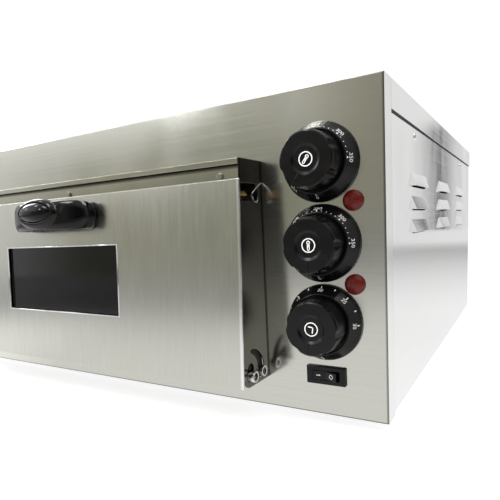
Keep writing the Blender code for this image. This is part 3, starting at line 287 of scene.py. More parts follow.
def hinge_metal(g, s):
    """Bright plating outside the cheek plates; between them and in the stop pin's bore it is smoked and oily,
    darkened further as painted shade.
    """
    low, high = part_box("hinge_bracket_left")[0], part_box("hinge_bracket_right")[1]
    middle = (low[0] + high[0]) / 2
    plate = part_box("surround_side_right")[1][0] - middle
    x, y, z = g.axes()
    across = g.math("ABSOLUTE", g.math("SUBTRACT", x, middle))
    outside = g.remap(across, plate - PLATE_FADE, plate)
    spread = g.math("ADD", g.math("POWER", g.math("SUBTRACT", y, PIN_Y), 2.0),
                    g.math("POWER", g.math("SUBTRACT", z, PIN_Z), 2.0))
    bore = g.math("MULTIPLY", g.math("LESS_THAN", spread, PIN_BORE ** 2),
                  g.math("LESS_THAN", across, plate + PIN_BORE_DEPTH))
    outside = g.math("MULTIPLY", outside, g.math("SUBTRACT", 1.0, bore))
    spots = g.noise(g.place(), 900.0, 5.0, 0.6)
    bright = g.mix(spots, colour(0.66), colour(0.84))
    # Dark tone between the cheek plates and in the bore: oily grime with painted shade.
    grime_and_shade = g.mix(spots, colour((0.030, 0.028, 0.024)), colour((0.055, 0.050, 0.042)))
    soft, _ = g.edge(0.0004)
    g.feed(s, "Base Color", g.mix(outside, grime_and_shade, bright))
    g.feed(s, "Metallic", 1.0)
    g.feed(s, "Roughness", g.remap(outside, 0.0, 1.0, 0.5, 0.13))
    g.feed(s, "Normal", g.bump(spots, 0.2, 0.00006, soft))


def oiled(g, s):
    """Baked-on film of the door's inner sheet."""
    clouds = g.noise(g.place(), 22.0, 5.0, 0.6)
    g.feed(s, "Base Color", g.mix(clouds, colour((0.16, 0.15, 0.13)), colour((0.34, 0.33, 0.30))))
    g.feed(s, "Metallic", 1.0)
    g.feed(s, "Roughness", g.remap(clouds, 0.3, 0.7, 0.30, 0.48))
    soft, _ = g.edge(0.0005)
    g.feed(s, "Normal", g.bump(g.noise(g.place(UPRIGHT), 1.0, 3.0, 0.6), 0.1, 0.0001, soft))


def spangle(g, s):
    """Zinc-coated sheet with its crystal pattern."""
    cells = g.node("ShaderNodeTexVoronoi", Vector=g.place(), Scale=120.0)
    tone = g.node("ShaderNodeSeparateColor", Color=cells.outputs["Color"]).outputs[0]
    g.feed(s, "Base Color", g.mix(tone, colour((0.44, 0.45, 0.46)), colour((0.60, 0.61, 0.62))))
    g.feed(s, "Metallic", 1.0)
    g.feed(s, "Roughness", g.remap(tone, 0.0, 1.0, 0.34, 0.50))
    soft, _ = g.edge(0.0005)
    g.feed(s, "Normal", g.bump(tone, 0.10, 0.00005, soft))


def blued(g, s):
    """Heat-darkened sheet with faint straw and blue tints."""
    clouds = g.noise(g.place(), 9.0, 4.0, 0.6)
    tints = ((0.25, (0.16, 0.15, 0.15)), (0.5, (0.22, 0.19, 0.16)), (0.75, (0.15, 0.16, 0.20)))
    g.feed(s, "Base Color", g.ramp(clouds, tints))
    g.feed(s, "Metallic", 1.0)
    g.feed(s, "Roughness", g.remap(g.noise(g.place(), 60.0), 0.3, 0.7, 0.38, 0.58))
    soft, _ = g.edge(0.0005)
    g.feed(s, "Normal", g.bump(g.noise(g.place(), 400.0), 0.12, 0.00008, soft))


def plastic(tone, rough, grain, scale, gloss=0.5, worn=0.05):
    """Moulded plastic: fine surface grain, faint handling marks, edges slightly paler."""
    def body(g, s):
        pits = g.noise(g.place(), scale, 3.0, 0.6)
        marks = g.noise(g.place((1.0, 1.0, 2.2)), 45.0, 6.0, 0.7)
        soft, mask = g.edge(0.0004)
        base = g.mix(g.remap(marks, 0.5, 0.8, 0.0, 0.7), colour(tone), colour(scaled(tone, 1.5, 0.002)))
        g.feed(s, "Base Color", g.mix(g.math("MULTIPLY", mask, 0.35), base, colour(scaled(tone, 1, worn))))
        g.feed(s, "Roughness", g.remap(marks, 0.35, 0.75, rough * 0.85, rough * 1.35))
        g.feed(s, "Specular IOR Level", gloss)
        g.feed(s, "Normal", g.bump(pits, grain, 0.00004, soft))
    return body


def rubber(g, s):
    specks = g.noise(g.place(), 900.0, 3.0, 0.7)
    g.feed(s, "Base Color", g.mix(specks, colour(0.012), colour(0.035)))
    g.feed(s, "Roughness", g.remap(specks, 0.3, 0.7, 0.7, 0.9))
    g.feed(s, "Normal", g.bump(specks, 0.3, 0.0001))


def ruby(g, s):
    """Dark red moulded lens with rings of facets inside."""
    facets = g.node("ShaderNodeTexVoronoi", Vector=g.place((1.0, 0.4, 1.0)), Scale=900.0)
    depth = g.remap(facets.outputs["Distance"], 0.0, 0.8)
    g.feed(s, "Base Color", g.mix(depth, colour((0.19, 0.016, 0.012)), colour((0.085, 0.007, 0.005))))
    g.feed(s, "Roughness", g.remap(g.noise(g.place(), 60.0), 0.3, 0.7, 0.16, 0.28))
    g.feed(s, "Specular IOR Level", 0.35)
    soft, _ = g.edge(0.0004)
    g.feed(s, "Normal", g.bump(depth, 0.25, 0.0001, soft))


def pane(g, s):
    """Smoked glass with a faint film on it."""
    film = g.noise(g.place((1.0, 1.0, 3.0)), 14.0, 4.0, 0.6)
    g.feed(s, "Base Color", g.mix(film, colour((0.030, 0.031, 0.033)), colour((0.085, 0.087, 0.090))))
    g.feed(s, "Transmission Weight", 1.0)
    g.feed(s, "IOR", 1.46)
    g.feed(s, "Specular IOR Level", 0.18)
    g.feed(s, "Roughness", g.remap(film, 0.3, 0.7, 0.04, 0.10))
    g.feed(s, "Normal", g.bump(film, 0.02, 0.0004))


def wool(g, s):
    fibres = g.noise(g.place((1.0, 1.0, 6.0)), 500.0, 6.0, 0.75)
    g.feed(s, "Base Color", g.mix(fibres, colour((0.42, 0.36, 0.24)), colour((0.72, 0.66, 0.50))))
    g.feed(s, "Roughness", g.remap(fibres, 0.3, 0.7, 0.85, 1.0))
    g.feed(s, "Normal", g.bump(fibres, 0.7, 0.0008))


def stone(g, s):
    grit = g.noise(g.place(), 700.0, 4.0, 0.7)
    stains = g.noise(g.place(), 12.0, 5.0, 0.6)
    base = g.mix(grit, colour((0.50, 0.43, 0.33)), colour((0.68, 0.62, 0.52)))
    g.feed(s, "Base Color", g.mix(g.remap(stains, 0.52, 0.75, 0.0, 0.6), base, colour((0.30, 0.23, 0.16))))
    g.feed(s, "Roughness", g.remap(grit, 0.3, 0.7, 0.8, 0.95))
    g.feed(s, "Normal", g.bump(grit, 0.5, 0.0003))


def ceramic(g, s):
    mottles = g.noise(g.place(), 200.0, 4.0, 0.6)
    g.feed(s, "Base Color", g.mix(mottles, colour((0.66, 0.63, 0.56)), colour((0.80, 0.78, 0.72))))
    g.feed(s, "Roughness", g.remap(mottles, 0.3, 0.7, 0.35, 0.55))
    g.feed(s, "Normal", g.bump(mottles, 0.15, 0.0001))


def paint(tone, rough):
    """Pad-printed ink: not quite even, a little worn."""
    def body(g, s):
        worn = g.noise(g.place(), 1500.0, 4.0, 0.7)
        g.feed(s, "Base Color", g.mix(g.remap(worn, 0.35, 0.6), colour(scaled(tone, 0.75)), colour(tone)))
        g.feed(s, "Roughness", g.remap(worn, 0.3, 0.7, rough, rough + 0.2))
        g.feed(s, "Normal", g.bump(worn, 0.1, 0.00005))
    return body


def make_materials():
    """One finish for each material slot of the frame, and a deeper black for the handle's dome."""
    recipes = {
        "satin_steel": sheet_steel(STEEL, 0.20, 0.045, SIDEWAYS),
        "bright_steel": sheet_steel((0.88, 0.88, 0.885), 0.10, 0.03, SIDEWAYS_FINE),
        "galvanised_steel": spangle,
        "blued_steel": blued,
        "chrome": metal((0.80, 0.80, 0.80), 0.14, 900.0),
        "brass": metal((0.74, 0.54, 0.24), 0.22, 900.0),
        "black_plastic": plastic((0.0030, 0.0030, 0.0033), 0.23, 0.22, 2200.0, 0.26, 0.03),
        "dome_black": plastic((0.0010, 0.0010, 0.0011), 0.04, 0.01, 300.0, 0.22, 0.002),
        "gloss_black": plastic((0.0012, 0.0012, 0.0013), 0.05, 0.02, 300.0, 0.32, 0.004),
        "black_rubber": rubber,
        "ruby_lens": ruby,
        "glass": pane,
        "mineral_wool": wool,
        "cordierite": stone,
        "copper": metal((0.70, 0.36, 0.22), 0.25, 700.0),
        "white_ceramic": ceramic,
        "red_wire": plastic((0.30, 0.02, 0.015), 0.35, 0.2, 900.0),
    }
    return {name: material(name, recipe) for name, recipe in recipes.items()}


def dress_frame(finishes):
    """Gives each CAD node the finish of its material slot; some sheets and the hinge get one of their own."""
    # The door, panel, cheek, recess and hinge finishes below carry painted shade and highlights.
    door = material("satin_steel_door", sheet_steel(STEEL, 0.20, 0.05, UPRIGHT, painted_hem_highlight))
    panel = material("satin_steel_panel", sheet_steel(STEEL, 0.20, 0.045, SIDEWAYS, flange_and_painted_shade))
    cheek = material("satin_steel_cheek", sheet_steel(SHADED_CHEEK_TONE, 0.23, 0.05, UPRIGHT, painted_seam_shadows))
    recess = material("satin_steel_recess", sheet_steel(STRAW_SHADED, 0.22, 0.06, SIDEWAYS, painted_lip_shade))
    hood = material("satin_steel_hood", sheet_steel(STRAW, 0.20, 0.05, SIDEWAYS))
    bracket = material("chrome_hinge", hinge_metal)
    special = {
        "door_skin": door,
        "front_panel": panel,
        "surround_side_right": cheek,
        "surround_side_left": cheek,
        "surround_band": recess,
        "surround_top": hood,
        "hinge_bracket_left": bracket,
        "hinge_bracket_right": bracket,
        "door_pan": material("oiled_pan", oiled),
    }
    for name, piece in NODES.items():
        for slot in piece.material_slots:
            key = slot.material.name.split(".")[0]
            slot.material = special.get(name, finishes.get(key, finishes["satin_steel"]))


# ------------------------------------------------------------------ printed marks

DIGIT_SHARE = 0.70


def flat_text(words, height):
    """Outline of a generic number as a flat mesh, centred, with digits of the given height.

    A digit stands DIGIT_SHARE of the type's size high.
    """
    curve = bpy.data.curves.new("number", "FONT")
    curve.body = words
    curve.align_x = "CENTER"
    curve.align_y = "CENTER"
    curve.size = height / DIGIT_SHARE
    curve.resolution_u = 3
    holder = bpy.data.objects.new("number", curve)
    bpy.context.scene.collection.objects.link(holder)
    bpy.context.view_layer.update()
    seen = holder.evaluated_get(bpy.context.evaluated_depsgraph_get())
    data = bpy.data.meshes.new_from_object(seen)
    bpy.data.objects.remove(holder)
    return data


class Marks:
    """Collects flat shapes, each mapped onto the object by its own function, into one mesh."""

    def __init__(self):
        self.form = bmesh.new()

    def polygon(self, points, onto):
        self.form.faces.new([self.form.verts.new(onto(*p)) for p in points])

    def strip(self, inner, outer, onto):
        count = len(inner)
        a = [self.form.verts.new(onto(*p)) for p in inner]
        b = [self.form.verts.new(onto(*p)) for p in outer]
        for i in range(count):
            j = (i + 1) % count
            self.form.faces.new((a[i], a[j], b[j], b[i]))

    def disc(self, centre, radius, onto, steps=14):
        self.polygon(ring(centre, radius, steps), onto)

    def hoop(self, centre, radius, width, onto, steps=40):
        self.strip(ring(centre, radius - width, steps), ring(centre, radius, steps), onto)

    def bar(self, start, end, half, onto, round_by=4):
        """A round-ended stroke."""
        heading = atan2(end[1] - start[1], end[0] - start[0])
        points = []
        for centre, turn in ((end, -pi / 2), (start, pi / 2)):
            for step in range(round_by + 1):
                angle = heading + turn + pi * step / round_by
                points.append((centre[0] + half * cos(angle), centre[1] + half * sin(angle)))
        self.polygon(points, onto)

    def words(self, text, height, centre, onto):
        data = flat_text(text, height)
        places = [(centre[0] + corner.co.x, centre[1] + corner.co.y) for corner in data.vertices]
        made = [self.form.verts.new(onto(*place)) for place in places]
        for face in data.polygons:
            self.form.faces.new([made[i] for i in face.vertices])
        bpy.data.meshes.remove(data)

    def finish(self, name, finish, body, slot):
        bmesh.ops.recalc_face_normals(self.form, faces=self.form.faces)
        return keep(name, self.form, finish, body)


def ring(centre, radius, steps):
    return [
        (centre[0] + radius * cos(2 * pi * i / steps), centre[1] + radius * sin(2 * pi * i / steps))
        for i in range(steps)
    ]


def keep(name, form, finish, body, shade=False):
    data = bpy.data.meshes.new(name)
    form.to_mesh(data)
    form.free()
    data.materials.append(finish)
    piece = bpy.data.objects.new(name, data)
    bpy.context.scene.collection.objects.link(piece)
    for face in data.polygons:
        face.use_smooth = shade
    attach(piece, body)
    return piece


# How far the ink stands off. Then how far the crest and the rim of a dial's cone lie inside its outline, and
# behind its front.
INK_LIFT = 0.00006
CREST_IN = 0.0063
RIM_IN = 0.0007
CREST_DROP = 0.0003
RIM_DROP = 0.0089
SLANT = hypot(CREST_IN - RIM_IN, RIM_DROP - CREST_DROP)


def cone_map(node):
    """For an angle and a distance down the slant, gives the map of flat shapes onto the dial's cone."""
    low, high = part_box(node)
    centre = ((low[0] + high[0]) / 2, (low[2] + high[2]) / 2)
    crest = (high[0] - low[0]) / 2 - CREST_IN
    outward = (CREST_IN - RIM_IN) / SLANT
    inward = (RIM_DROP - CREST_DROP) / SLANT

    def at(angle, down):
        def onto(u, v):
            radius = crest + outward * (down + v)
            turn = angle - u / radius
            lifted = radius + inward * INK_LIFT
            y = low[1] + CREST_DROP + inward * (down + v) - outward * INK_LIFT
            return (centre[0] + lifted * cos(turn), y, centre[1] + lifted * sin(turn))
        return onto
    return at


# Dials: marks by angle from 3 o'clock, in degrees, and by distance down the slant from the crest.
DIGIT = 0.0034
HEAT_LABELS = ((0, "350"), (45, "300"), (90, "250"), (135, "200"), (180, "150"), (225, "100"), (270, "0"))
HEAT_NUMBER_DOWN = 0.0046
DOT_DOWN = 0.0013
DOT = 0.00042
BIG_DOT = 0.00068
DOT_COUNT = 26
DOT_PITCH = 9
TIME_LABELS = ((0, "30"), (45, "25"), (90, "20"), (135, "15"), (180, "10"), (225, "5"), (270, "0"))
TIME_NUMBER_DOWN = 0.0042
TICK_DOWN = 0.0080
TICK_WIDTH = 0.00042
TICK_HALVES = (0.0012, 0.0009)
TICK_COUNT = 13
TICK_PITCH = 22.5


def heat_dial(name, node, ink):
    """A row of dots beside the crest, larger ones at the numbers."""
    at = cone_map(node)
    marks = Marks()
    for step in range(DOT_COUNT):
        marks.disc((0, 0), DOT, at(radians(DOT_PITCH * step), DOT_DOWN), 8)
    for angle, words in HEAT_LABELS:
        marks.disc((0, 0), BIG_DOT, at(radians(angle), DOT_DOWN), 12)
        marks.words(words, DIGIT, (0, 0), at(radians(angle), HEAT_NUMBER_DOWN))
    return marks.finish(name, ink, "cabinet", "black_plastic")


def time_dial(name, node, ink):
    """Ticks near the rim, every other one longer, and numbers inside them."""
    at = cone_map(node)
    marks = Marks()
    for step in range(TICK_COUNT):
        half = TICK_HALVES[step % 2]
        marks.bar((0, -half), (0, half), TICK_WIDTH, at(radians(TICK_PITCH * step), TICK_DOWN), 2)
    for angle, words in TIME_LABELS:
        marks.words(words, DIGIT, (0, 0), at(radians(angle), TIME_NUMBER_DOWN))
    return marks.finish(name, ink, "cabinet", "black_plastic")


# Icons, drawn flat about the middle of a knob's dish with up towards its pointer.
DISH_DEPTH = 0.0014
ICON_RADIUS = 0.0056
ICON_WIDTH = 0.00085
BULB_LOW = -0.0021
BULB_RADIUS = 0.0015
BULB_WIDTH = 0.0007
STEM_LOW = -0.0011
STEM_HIGH = 0.0032
STEM_HALVES = (0.00042, 0.00110)
MERCURY = (-0.0018, 0.0012)
MERCURY_WIDTH = 0.00030
HAND_CORNER = (-0.0013, -0.0016)
HAND_TOP = 0.0028
HAND_RIGHT = 0.0024
HAND_WIDTH = 0.00045


def dish_map(node, plate, pointer):
    """Onto the floor of a knob's dish, with up towards the pointer."""
    low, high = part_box(plate)
    centre = ((low[0] + high[0]) / 2, (low[2] + high[2]) / 2)
    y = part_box(node)[0][1] + DISH_DEPTH - INK_LIFT
    along = (cos(pointer), sin(pointer))

    def onto(u, v):
        x = centre[0] + v * along[0] + u * along[1]
        z = centre[1] + v * along[1] - u * along[0]
        return (x, y, z)
    return onto


def stem(half):
    """Outline of a thermometer's stem: open below, pointed above."""
    tip = (0, STEM_HIGH + 1.2 * half)
    return [(half, STEM_LOW), (half, STEM_HIGH), tip, (-half, STEM_HIGH), (-half, STEM_LOW)]


def heat_icon(name, node, plate, pointer, body, ink):
    """A thermometer in a ring."""
    onto = dish_map(node, plate, radians(pointer))
    marks = Marks()
    marks.hoop((0, 0), ICON_RADIUS, ICON_WIDTH, onto)
    marks.hoop((0, BULB_LOW), BULB_RADIUS, BULB_WIDTH, onto, 20)
    marks.strip(stem(STEM_HALVES[0]), stem(STEM_HALVES[1]), onto)
    marks.bar((0, MERCURY[0]), (0, MERCURY[1]), MERCURY_WIDTH, onto, 3)
    return marks.finish(name, ink, body, "black_plastic")


def clock_icon(name, node, plate, pointer, body, ink):
    """Two clock hands in a ring."""
    onto = dish_map(node, plate, radians(pointer))
    marks = Marks()
    marks.hoop((0, 0), ICON_RADIUS, ICON_WIDTH, onto)
    marks.bar(HAND_CORNER, (HAND_CORNER[0], HAND_TOP), HAND_WIDTH, onto)
    marks.bar(HAND_CORNER, (HAND_RIGHT, HAND_CORNER[1]), HAND_WIDTH, onto)
    return marks.finish(name, ink, body, "black_plastic")


# The rocker's key: how it leans at rest, how its two halves rise from the middle, and its marks.
KEY_LEAN = radians(-7)
KEY_SLOPE = 0.0028 / 0.0108
KEY_RISE = 0.0030
KEY_MARK_OUT = 0.0058
DASH_HALF = 0.0014
DASH_WIDTH = 0.00033
OFF_RADIUS = 0.0019
OFF_WIDTH = 0.00050


def rocker_marks(ink):
    """A dash on one half of the leaning key and a ring on the other."""
    axis = JOINTS["rocker_tip"]

    def half(side):
        def onto(u, v):
            x = side * KEY_MARK_OUT + u
            y = -KEY_RISE - abs(x) * KEY_SLOPE - INK_LIFT
            across = x * cos(KEY_LEAN) - y * sin(KEY_LEAN)
            out = x * sin(KEY_LEAN) + y * cos(KEY_LEAN)
            return (axis[0] + across, axis[1] + out, axis[2] + v)
        return onto
    marks = Marks()
    marks.bar((-DASH_HALF, 0), (DASH_HALF, 0), DASH_WIDTH, half(-1))
    marks.hoop((0, 0), OFF_RADIUS, OFF_WIDTH, half(1), 24)
    return marks.finish("rocker_marks", ink, "rocker", "black_plastic")


def printed_marks():
    ink = material("dial_ink", paint((0.92, 0.92, 0.90), 0.45))
    heat_dial("dial_marks_upper", "dial_plate_upper", ink)
    heat_dial("dial_marks_lower", "dial_plate_lower", ink)
    time_dial("dial_marks_timer", "dial_plate_timer", ink)
    heat_icon("knob_icon_upper", "knob_upper", "dial_plate_upper", 235, "upper_knob", ink)
    heat_icon("knob_icon_lower", "knob_lower", "dial_plate_lower", 270, "lower_knob", ink)
    clock_icon("knob_icon_timer", "knob_timer", "dial_plate_timer", 262, "timer_knob", ink)
    rocker_marks(ink)


# ------------------------------------------------------------------ handle, window bead, painted shadow under the lid

# Handle, in the door's own axes: x along the door, y away from its face, z up, all from the hinge line.
DOOR_LEAN = radians(2.9)
DOOR_FACE = 0.0132
FOOT_GAP = 0.0003
HANDLE_X = 0.0060
HANDLE_Z = 0.1422
HANDLE_HALF = 0.0558
HANDLE_HEIGHT = 0.0278
HANDLE_CORNER = 0.0110
HANDLE_STAND = 0.0279
HANDLE_FOOT = 0.0115
HANDLE_BAND = 0.0085
CROWN_STAND = 0.0280
BOW_POWER = 0.62
BOW_STEPS = 72
BOW_START = 0.002
GRIP_STEPS = 32
FRONT_POWER = 0.85
BACK_POWER = 0.45
EDGE_POWER = 0.80
OVAL_STEPS = 64
CROWN = DOOR_FACE + FOOT_GAP + CROWN_STAND
# Half width, half height and lift of the oval boss at its foot and at the seat of its dome.
BOSS_OUTER = (0.0298, 0.0158, 0.0018)
BOSS_INNER = (0.0243, 0.0101, 0.0036)
BOSS_RISE = 0.0015
BOSS_FOOT = 0.0046
BOSS_STEPS = 12
# The well that the dome sits in: how far inside the seat, and how far above the crown.
BOSS_WELL = ((0.0003, 0.0011), (0.0004, 0.0002))
DOME_HALVES = (0.0235, 0.0094)
DOME_SEAT = 0.0003
DOME_RISE = 0.0055
DOME_ROWS = 16
DOME_FIRST_ROW = 0.15


def door_place():
    """From the door's own axes, which start on its hinge line, to the oven's."""
    return Matrix.Translation(JOINTS["door_hinge"]) @ Matrix.Rotation(-DOOR_LEAN, 4, "X")


def bow_point(half, stand, angle):
    """A point of a bow seen from above: how far along the door, and how far in front of it."""
    return (half * cos(angle), -DOOR_FACE - FOOT_GAP - stand * abs(sin(angle)) ** BOW_POWER)


def tall(x):
    """Half height of the handle at a distance from its middle: its ends are rounded."""
    past = max(0.0, abs(x) - (HANDLE_HALF - HANDLE_CORNER))
    return HANDLE_HEIGHT / 2 - HANDLE_CORNER + (max(0.0, HANDLE_CORNER ** 2 - past ** 2)) ** 0.5


def skin_over(form, loops):
    """Quads between successive loops of points, with both ends capped."""
    rows = [[form.verts.new(point) for point in loop] for loop in loops]
    for first, second in zip(rows, rows[1:]):
        for i in range(len(first)):
            j = (i + 1) % len(first)
            form.faces.new((first[i], first[j], second[j], second[i]))
    form.faces.new(rows[0][::-1])
    form.faces.new(rows[-1])


def power(value, exponent):
    """A power that keeps the sign of its value."""
    return abs(value) ** exponent * (1 if value > 0 else -1)


def grip_section(angle):
    """One cross-section of the grip: full and round in front, flatter behind."""
    front = bow_point(HANDLE_HALF, HANDLE_STAND, angle)
    back = bow_point(HANDLE_HALF - HANDLE_FOOT, HANDLE_STAND - HANDLE_BAND, angle)
    middle = ((front[0] + back[0]) / 2, (front[1] + back[1]) / 2)
    half = ((front[0] - back[0]) / 2, (front[1] - back[1]) / 2)
    section = []
    for step in range(GRIP_STEPS):
        turn = 2 * pi * step / GRIP_STEPS
        out = power(cos(turn), FRONT_POWER if cos(turn) > 0 else BACK_POWER)
        x = middle[0] + half[0] * out
        z = HANDLE_Z + tall(x) * power(sin(turn), EDGE_POWER)
        section.append((HANDLE_X + x, middle[1] + half[1] * out, z))
    return section


def oval(halves, lift, out):
    """An oval round the handle's middle, lifted, at a distance in front of the hinge line."""
    points = []
    for step in range(OVAL_STEPS):
        angle = 2 * pi * step / OVAL_STEPS
        points.append((HANDLE_X + halves[0] * cos(angle), -out, HANDLE_Z + lift + halves[1] * sin(angle)))
    return points


def boss_loops():
    """The oval boss: a rounded shoulder from its foot up to the seat of the dome."""
    loops = []
    for step in range(BOSS_STEPS + 1):
        angle = pi / 2 * step / BOSS_STEPS
        share = 1 - cos(angle)
        wide, high, lift = (o + (i - o) * share for o, i in zip(BOSS_OUTER, BOSS_INNER))
        loops.append(oval((wide, high), lift, CROWN - BOSS_FOOT + (BOSS_FOOT + BOSS_RISE) * sin(angle)))
    wide, high, lift = BOSS_INNER
    for inset, rise in BOSS_WELL:
        loops.append(oval((wide - inset, high - inset), lift, CROWN + rise))
    return loops


def hang_on_door(name, form, finish):
    """Turns a form drawn in the door's own axes into a smooth piece of the door."""
    bmesh.ops.recalc_face_normals(form, faces=form.faces)
    bmesh.ops.transform(form, matrix=door_place(), verts=form.verts)
    return keep(name, form, finish, "door", shade=True)


def soft_handle(finish):
    """The bowed grip with the oval boss that carries its dome."""
    form = bmesh.new()
    shares = [BOW_START + (1 - 2 * BOW_START) * step / BOW_STEPS for step in range(BOW_STEPS + 1)]
    skin_over(form, [grip_section(pi * share) for share in shares])
    skin_over(form, boss_loops())
    piece = hang_on_door("handle_grip", form, finish)
    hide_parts("handle")


def soft_button(finish):
    """The oval dome on the boss."""
    form = bmesh.new()
    loops = []
    for row in range(DOME_ROWS):
        angle = pi / 2 * (row + DOME_FIRST_ROW) / DOME_ROWS
        halves = (DOME_HALVES[0] * cos(angle), DOME_HALVES[1] * cos(angle))
        loops.append(oval(halves, BOSS_INNER[2], CROWN + DOME_SEAT + DOME_RISE * sin(angle)))
    skin_over(form, loops)
    piece = hang_on_door("handle_dome", form, finish)
    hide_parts("handle_button")


# Window opening in the door's own axes, and the rolled edge round it.
WINDOW_HALF = 0.0860
WINDOW_LOW = 0.0441
WINDOW_HIGH = 0.1126
BEAD_HALF = 0.000605
BEAD_RISE = 0.0009
BEAD_SINK = 0.0003
BEAD_STEPS = 8


def window_bead(finish):
    """Rolled bright edge round the window opening."""
    form = bmesh.new()
    middle = (WINDOW_LOW + WINDOW_HIGH) / 2
    half_height = (WINDOW_HIGH - WINDOW_LOW) / 2
    rolls = []
    for side, end in ((-1, -1), (1, -1), (1, 1), (-1, 1)):
        roll = []
        for step in range(BEAD_STEPS + 1):
            angle = pi * step / BEAD_STEPS
            grow = -BEAD_HALF * cos(angle)
            out = DOOR_FACE - BEAD_SINK + BEAD_RISE * sin(angle)
            corner = (side * (WINDOW_HALF + grow), -out, middle + end * (half_height + grow))
            roll.append(form.verts.new(corner))
        rolls.append(roll)
    for first, second in zip(rolls, rolls[1:] + rolls[:1]):
        for i in range(BEAD_STEPS):
            form.faces.new((first[i], first[i + 1], second[i + 1], second[i]))
    hang_on_door("window_bead", form, finish)


# Painted shadow: a dark strip in the step under the lid's flange; its section, and where it starts and ends
# along the flange.
SEAM_DEPTH = 0.0022
SEAM_INSET = 0.0003
SEAM_TUCK = 0.0002
SEAM_START = 0.0004
SEAM_END = 0.0036
# Share of the lid's length, and how far the strip hangs below the flange there.
SEAM_DROPS = ((0.0, 0.0034), (0.004, 0.0030), (0.012, 0.0013), (0.3, 0.0010), (0.7, 0.0006), (1.0, 0.0004))


def lid_seam(finish):
    """Painted shadow: a dark strip in the step under each flange of the lid, fading into the gap towards the
    rear.
    """
    low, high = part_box("top_cover")
    length = high[1] - low[1] - SEAM_START - SEAM_END
    for name, side, face in (("lid_seam_right", 1, high[0]), ("lid_seam_left", -1, low[0])):
        inner = face - side * SEAM_DEPTH
        outer = face - side * SEAM_INSET
        lower = outer - side * SEAM_INSET
        loops = []
        for share, drop in SEAM_DROPS:
            y = low[1] + SEAM_START + length * share
            top, bottom = low[2] + SEAM_TUCK, low[2] - drop
            outside = [(outer, y, top), (lower, y, bottom)]
            loops.append([(inner, y, top), *outside, (inner, y, bottom - SEAM_INSET)])
        form = bmesh.new()
        skin_over(form, loops)
        bmesh.ops.recalc_face_normals(form, faces=form.faces)
        keep(name, form, finish, "cabinet")


# ------------------------------------------------------------------ stage, light, camera

# Small lamps for the points of light in the handle's dome: place and watts.
SPARKS = (
    ((-1.55, -0.11, 0.96), 1.4),
    ((-1.20, -0.94, 1.26), 1.4),
    ((-0.97, -1.57, 0.86), 1.2),
    ((-1.54, -0.93, 0.74), 0.3),
)
SPARK_SIZE = (0.10, 0.20)
DOME_PLACE = (-0.03, -0.33, 0.194)

# Floor: brightness by distance from the oven's middle, as a share of FLOOR_REACH, in front and beside it.
FLOOR_HALF = 6.0
FLOOR_DROP = 0.0005
FLOOR_REACH = 3.0
FLOOR_BEFORE = ((0, 0.98), (0.19, 0.96), (0.30, 0.84), (0.38, 0.60), (0.5, 0.36), (0.6, 0.31), (1, 0.33))
FLOOR_BESIDE = ((0, 0.94), (0.16, 0.90), (0.36, 0.70), (0.55, 0.54), (0.70, 0.46), (0.85, 0.60), (1, 0.78))
FRONT_TO_SIDE = (-0.15, 0.10)
LEFT_BEARINGS = (28, 52)
LEFT_GAIN = 1.5

# Room: brightness by direction, in degrees round the oven. 0 is straight ahead of its front, 90 on its left.
OLIVE = (0.37, 0.365, 0.295)
ROOM_RIGHT = ((-180, 0.80), (-95, 0.80), (-70, 0.20), (-50, 0.07), (-20, 0.07), (6, 0.20), (16, OLIVE))
ROOM_LOW = ((24, (0.30, 0.30, 0.24)), (38, (0.32, 0.32, 0.26)), (50, OLIVE), (56, 0.78), (62, 0.90),
            (80, 1.0), (98, 0.75), (125, 0.75))
ROOM_HIGH = ((20, OLIVE), (24, 0.90), (28, OLIVE), (36, (0.42, 0.42, 0.35)), (41, 0.80), (46, 1.35),
             (60, 1.6), (80, 1.5), (98, 0.80), (125, 0.80))
ROOM_BEHIND = ((140, 0.90), (180, 0.80))
# Elevations, in degrees, between which the low room turns into the high one, and that into the ceiling.
LOW_TO_HIGH = (7.5, 12.5)
HIGH_TO_CEILING = (24, 45)
CEILING = 0.9
# A dark post to the rear, mirrored in the right wall: its directions, its profile across them, and its top.
POST_REACH = (-174, -168)
POST_PROFILE = ((0.0, 0.0), (0.22, 0.0), (0.35, 1.0), (0.52, 1.0), (0.70, 0.0), (1.0, 0.0))
POST_TOP = (9.0, 10.6)
POST_TONE = 0.03


def seen_or_bounced(g, bounced, seen):
    """One shader for what the camera sees directly, another for what lights and reflects in the object."""
    direct = g.node("ShaderNodeLightPath").outputs["Is Camera Ray"]
    made = g.node("ShaderNodeMixShader", Fac=direct)
    g.feed(made, "1", bounced)
    g.feed(made, "2", seen)
    return made.outputs[0]


def floor_seen(g):
    """Plain white paper with a soft contact shadow."""
    haze = g.noise(g.place(), 3.0, 3.0, 0.5)
    paper = g.node("ShaderNodeBsdfDiffuse", Color=g.mix(haze, colour(0.60), colour(0.63))).outputs[0]
    glow = g.node("ShaderNodeEmission", Color=colour(1.0), Strength=0.72).outputs[0]
    both = g.node("ShaderNodeAddShader")
    g.feed(both, "0", paper)
    g.feed(both, "1", glow)
    return both.outputs[0]


def floor_bounced(g):
    """What the oven mirrors: bright paper round the oven, dimmer further away, brighter towards its left."""
    length = g.node("ShaderNodeVectorMath", p_operation="LENGTH")
    g.feed(length, "0", g.place())
    reach = g.remap(length.outputs["Value"], 0.0, FLOOR_REACH)
    x, y, _ = g.axes()
    bearing = g.math("ARCTAN2", g.math("MULTIPLY", x, -1.0), g.math("MULTIPLY", y, -1.0))
    left = g.remap(bearing, radians(LEFT_BEARINGS[0]), radians(LEFT_BEARINGS[1]), 1.0, LEFT_GAIN)
    tone = g.mix(g.remap(y, *FRONT_TO_SIDE), g.ramp(reach, FLOOR_BEFORE), g.ramp(reach, FLOOR_BESIDE))
    return g.node("ShaderNodeEmission", Color=tone, Strength=left).outputs[0]


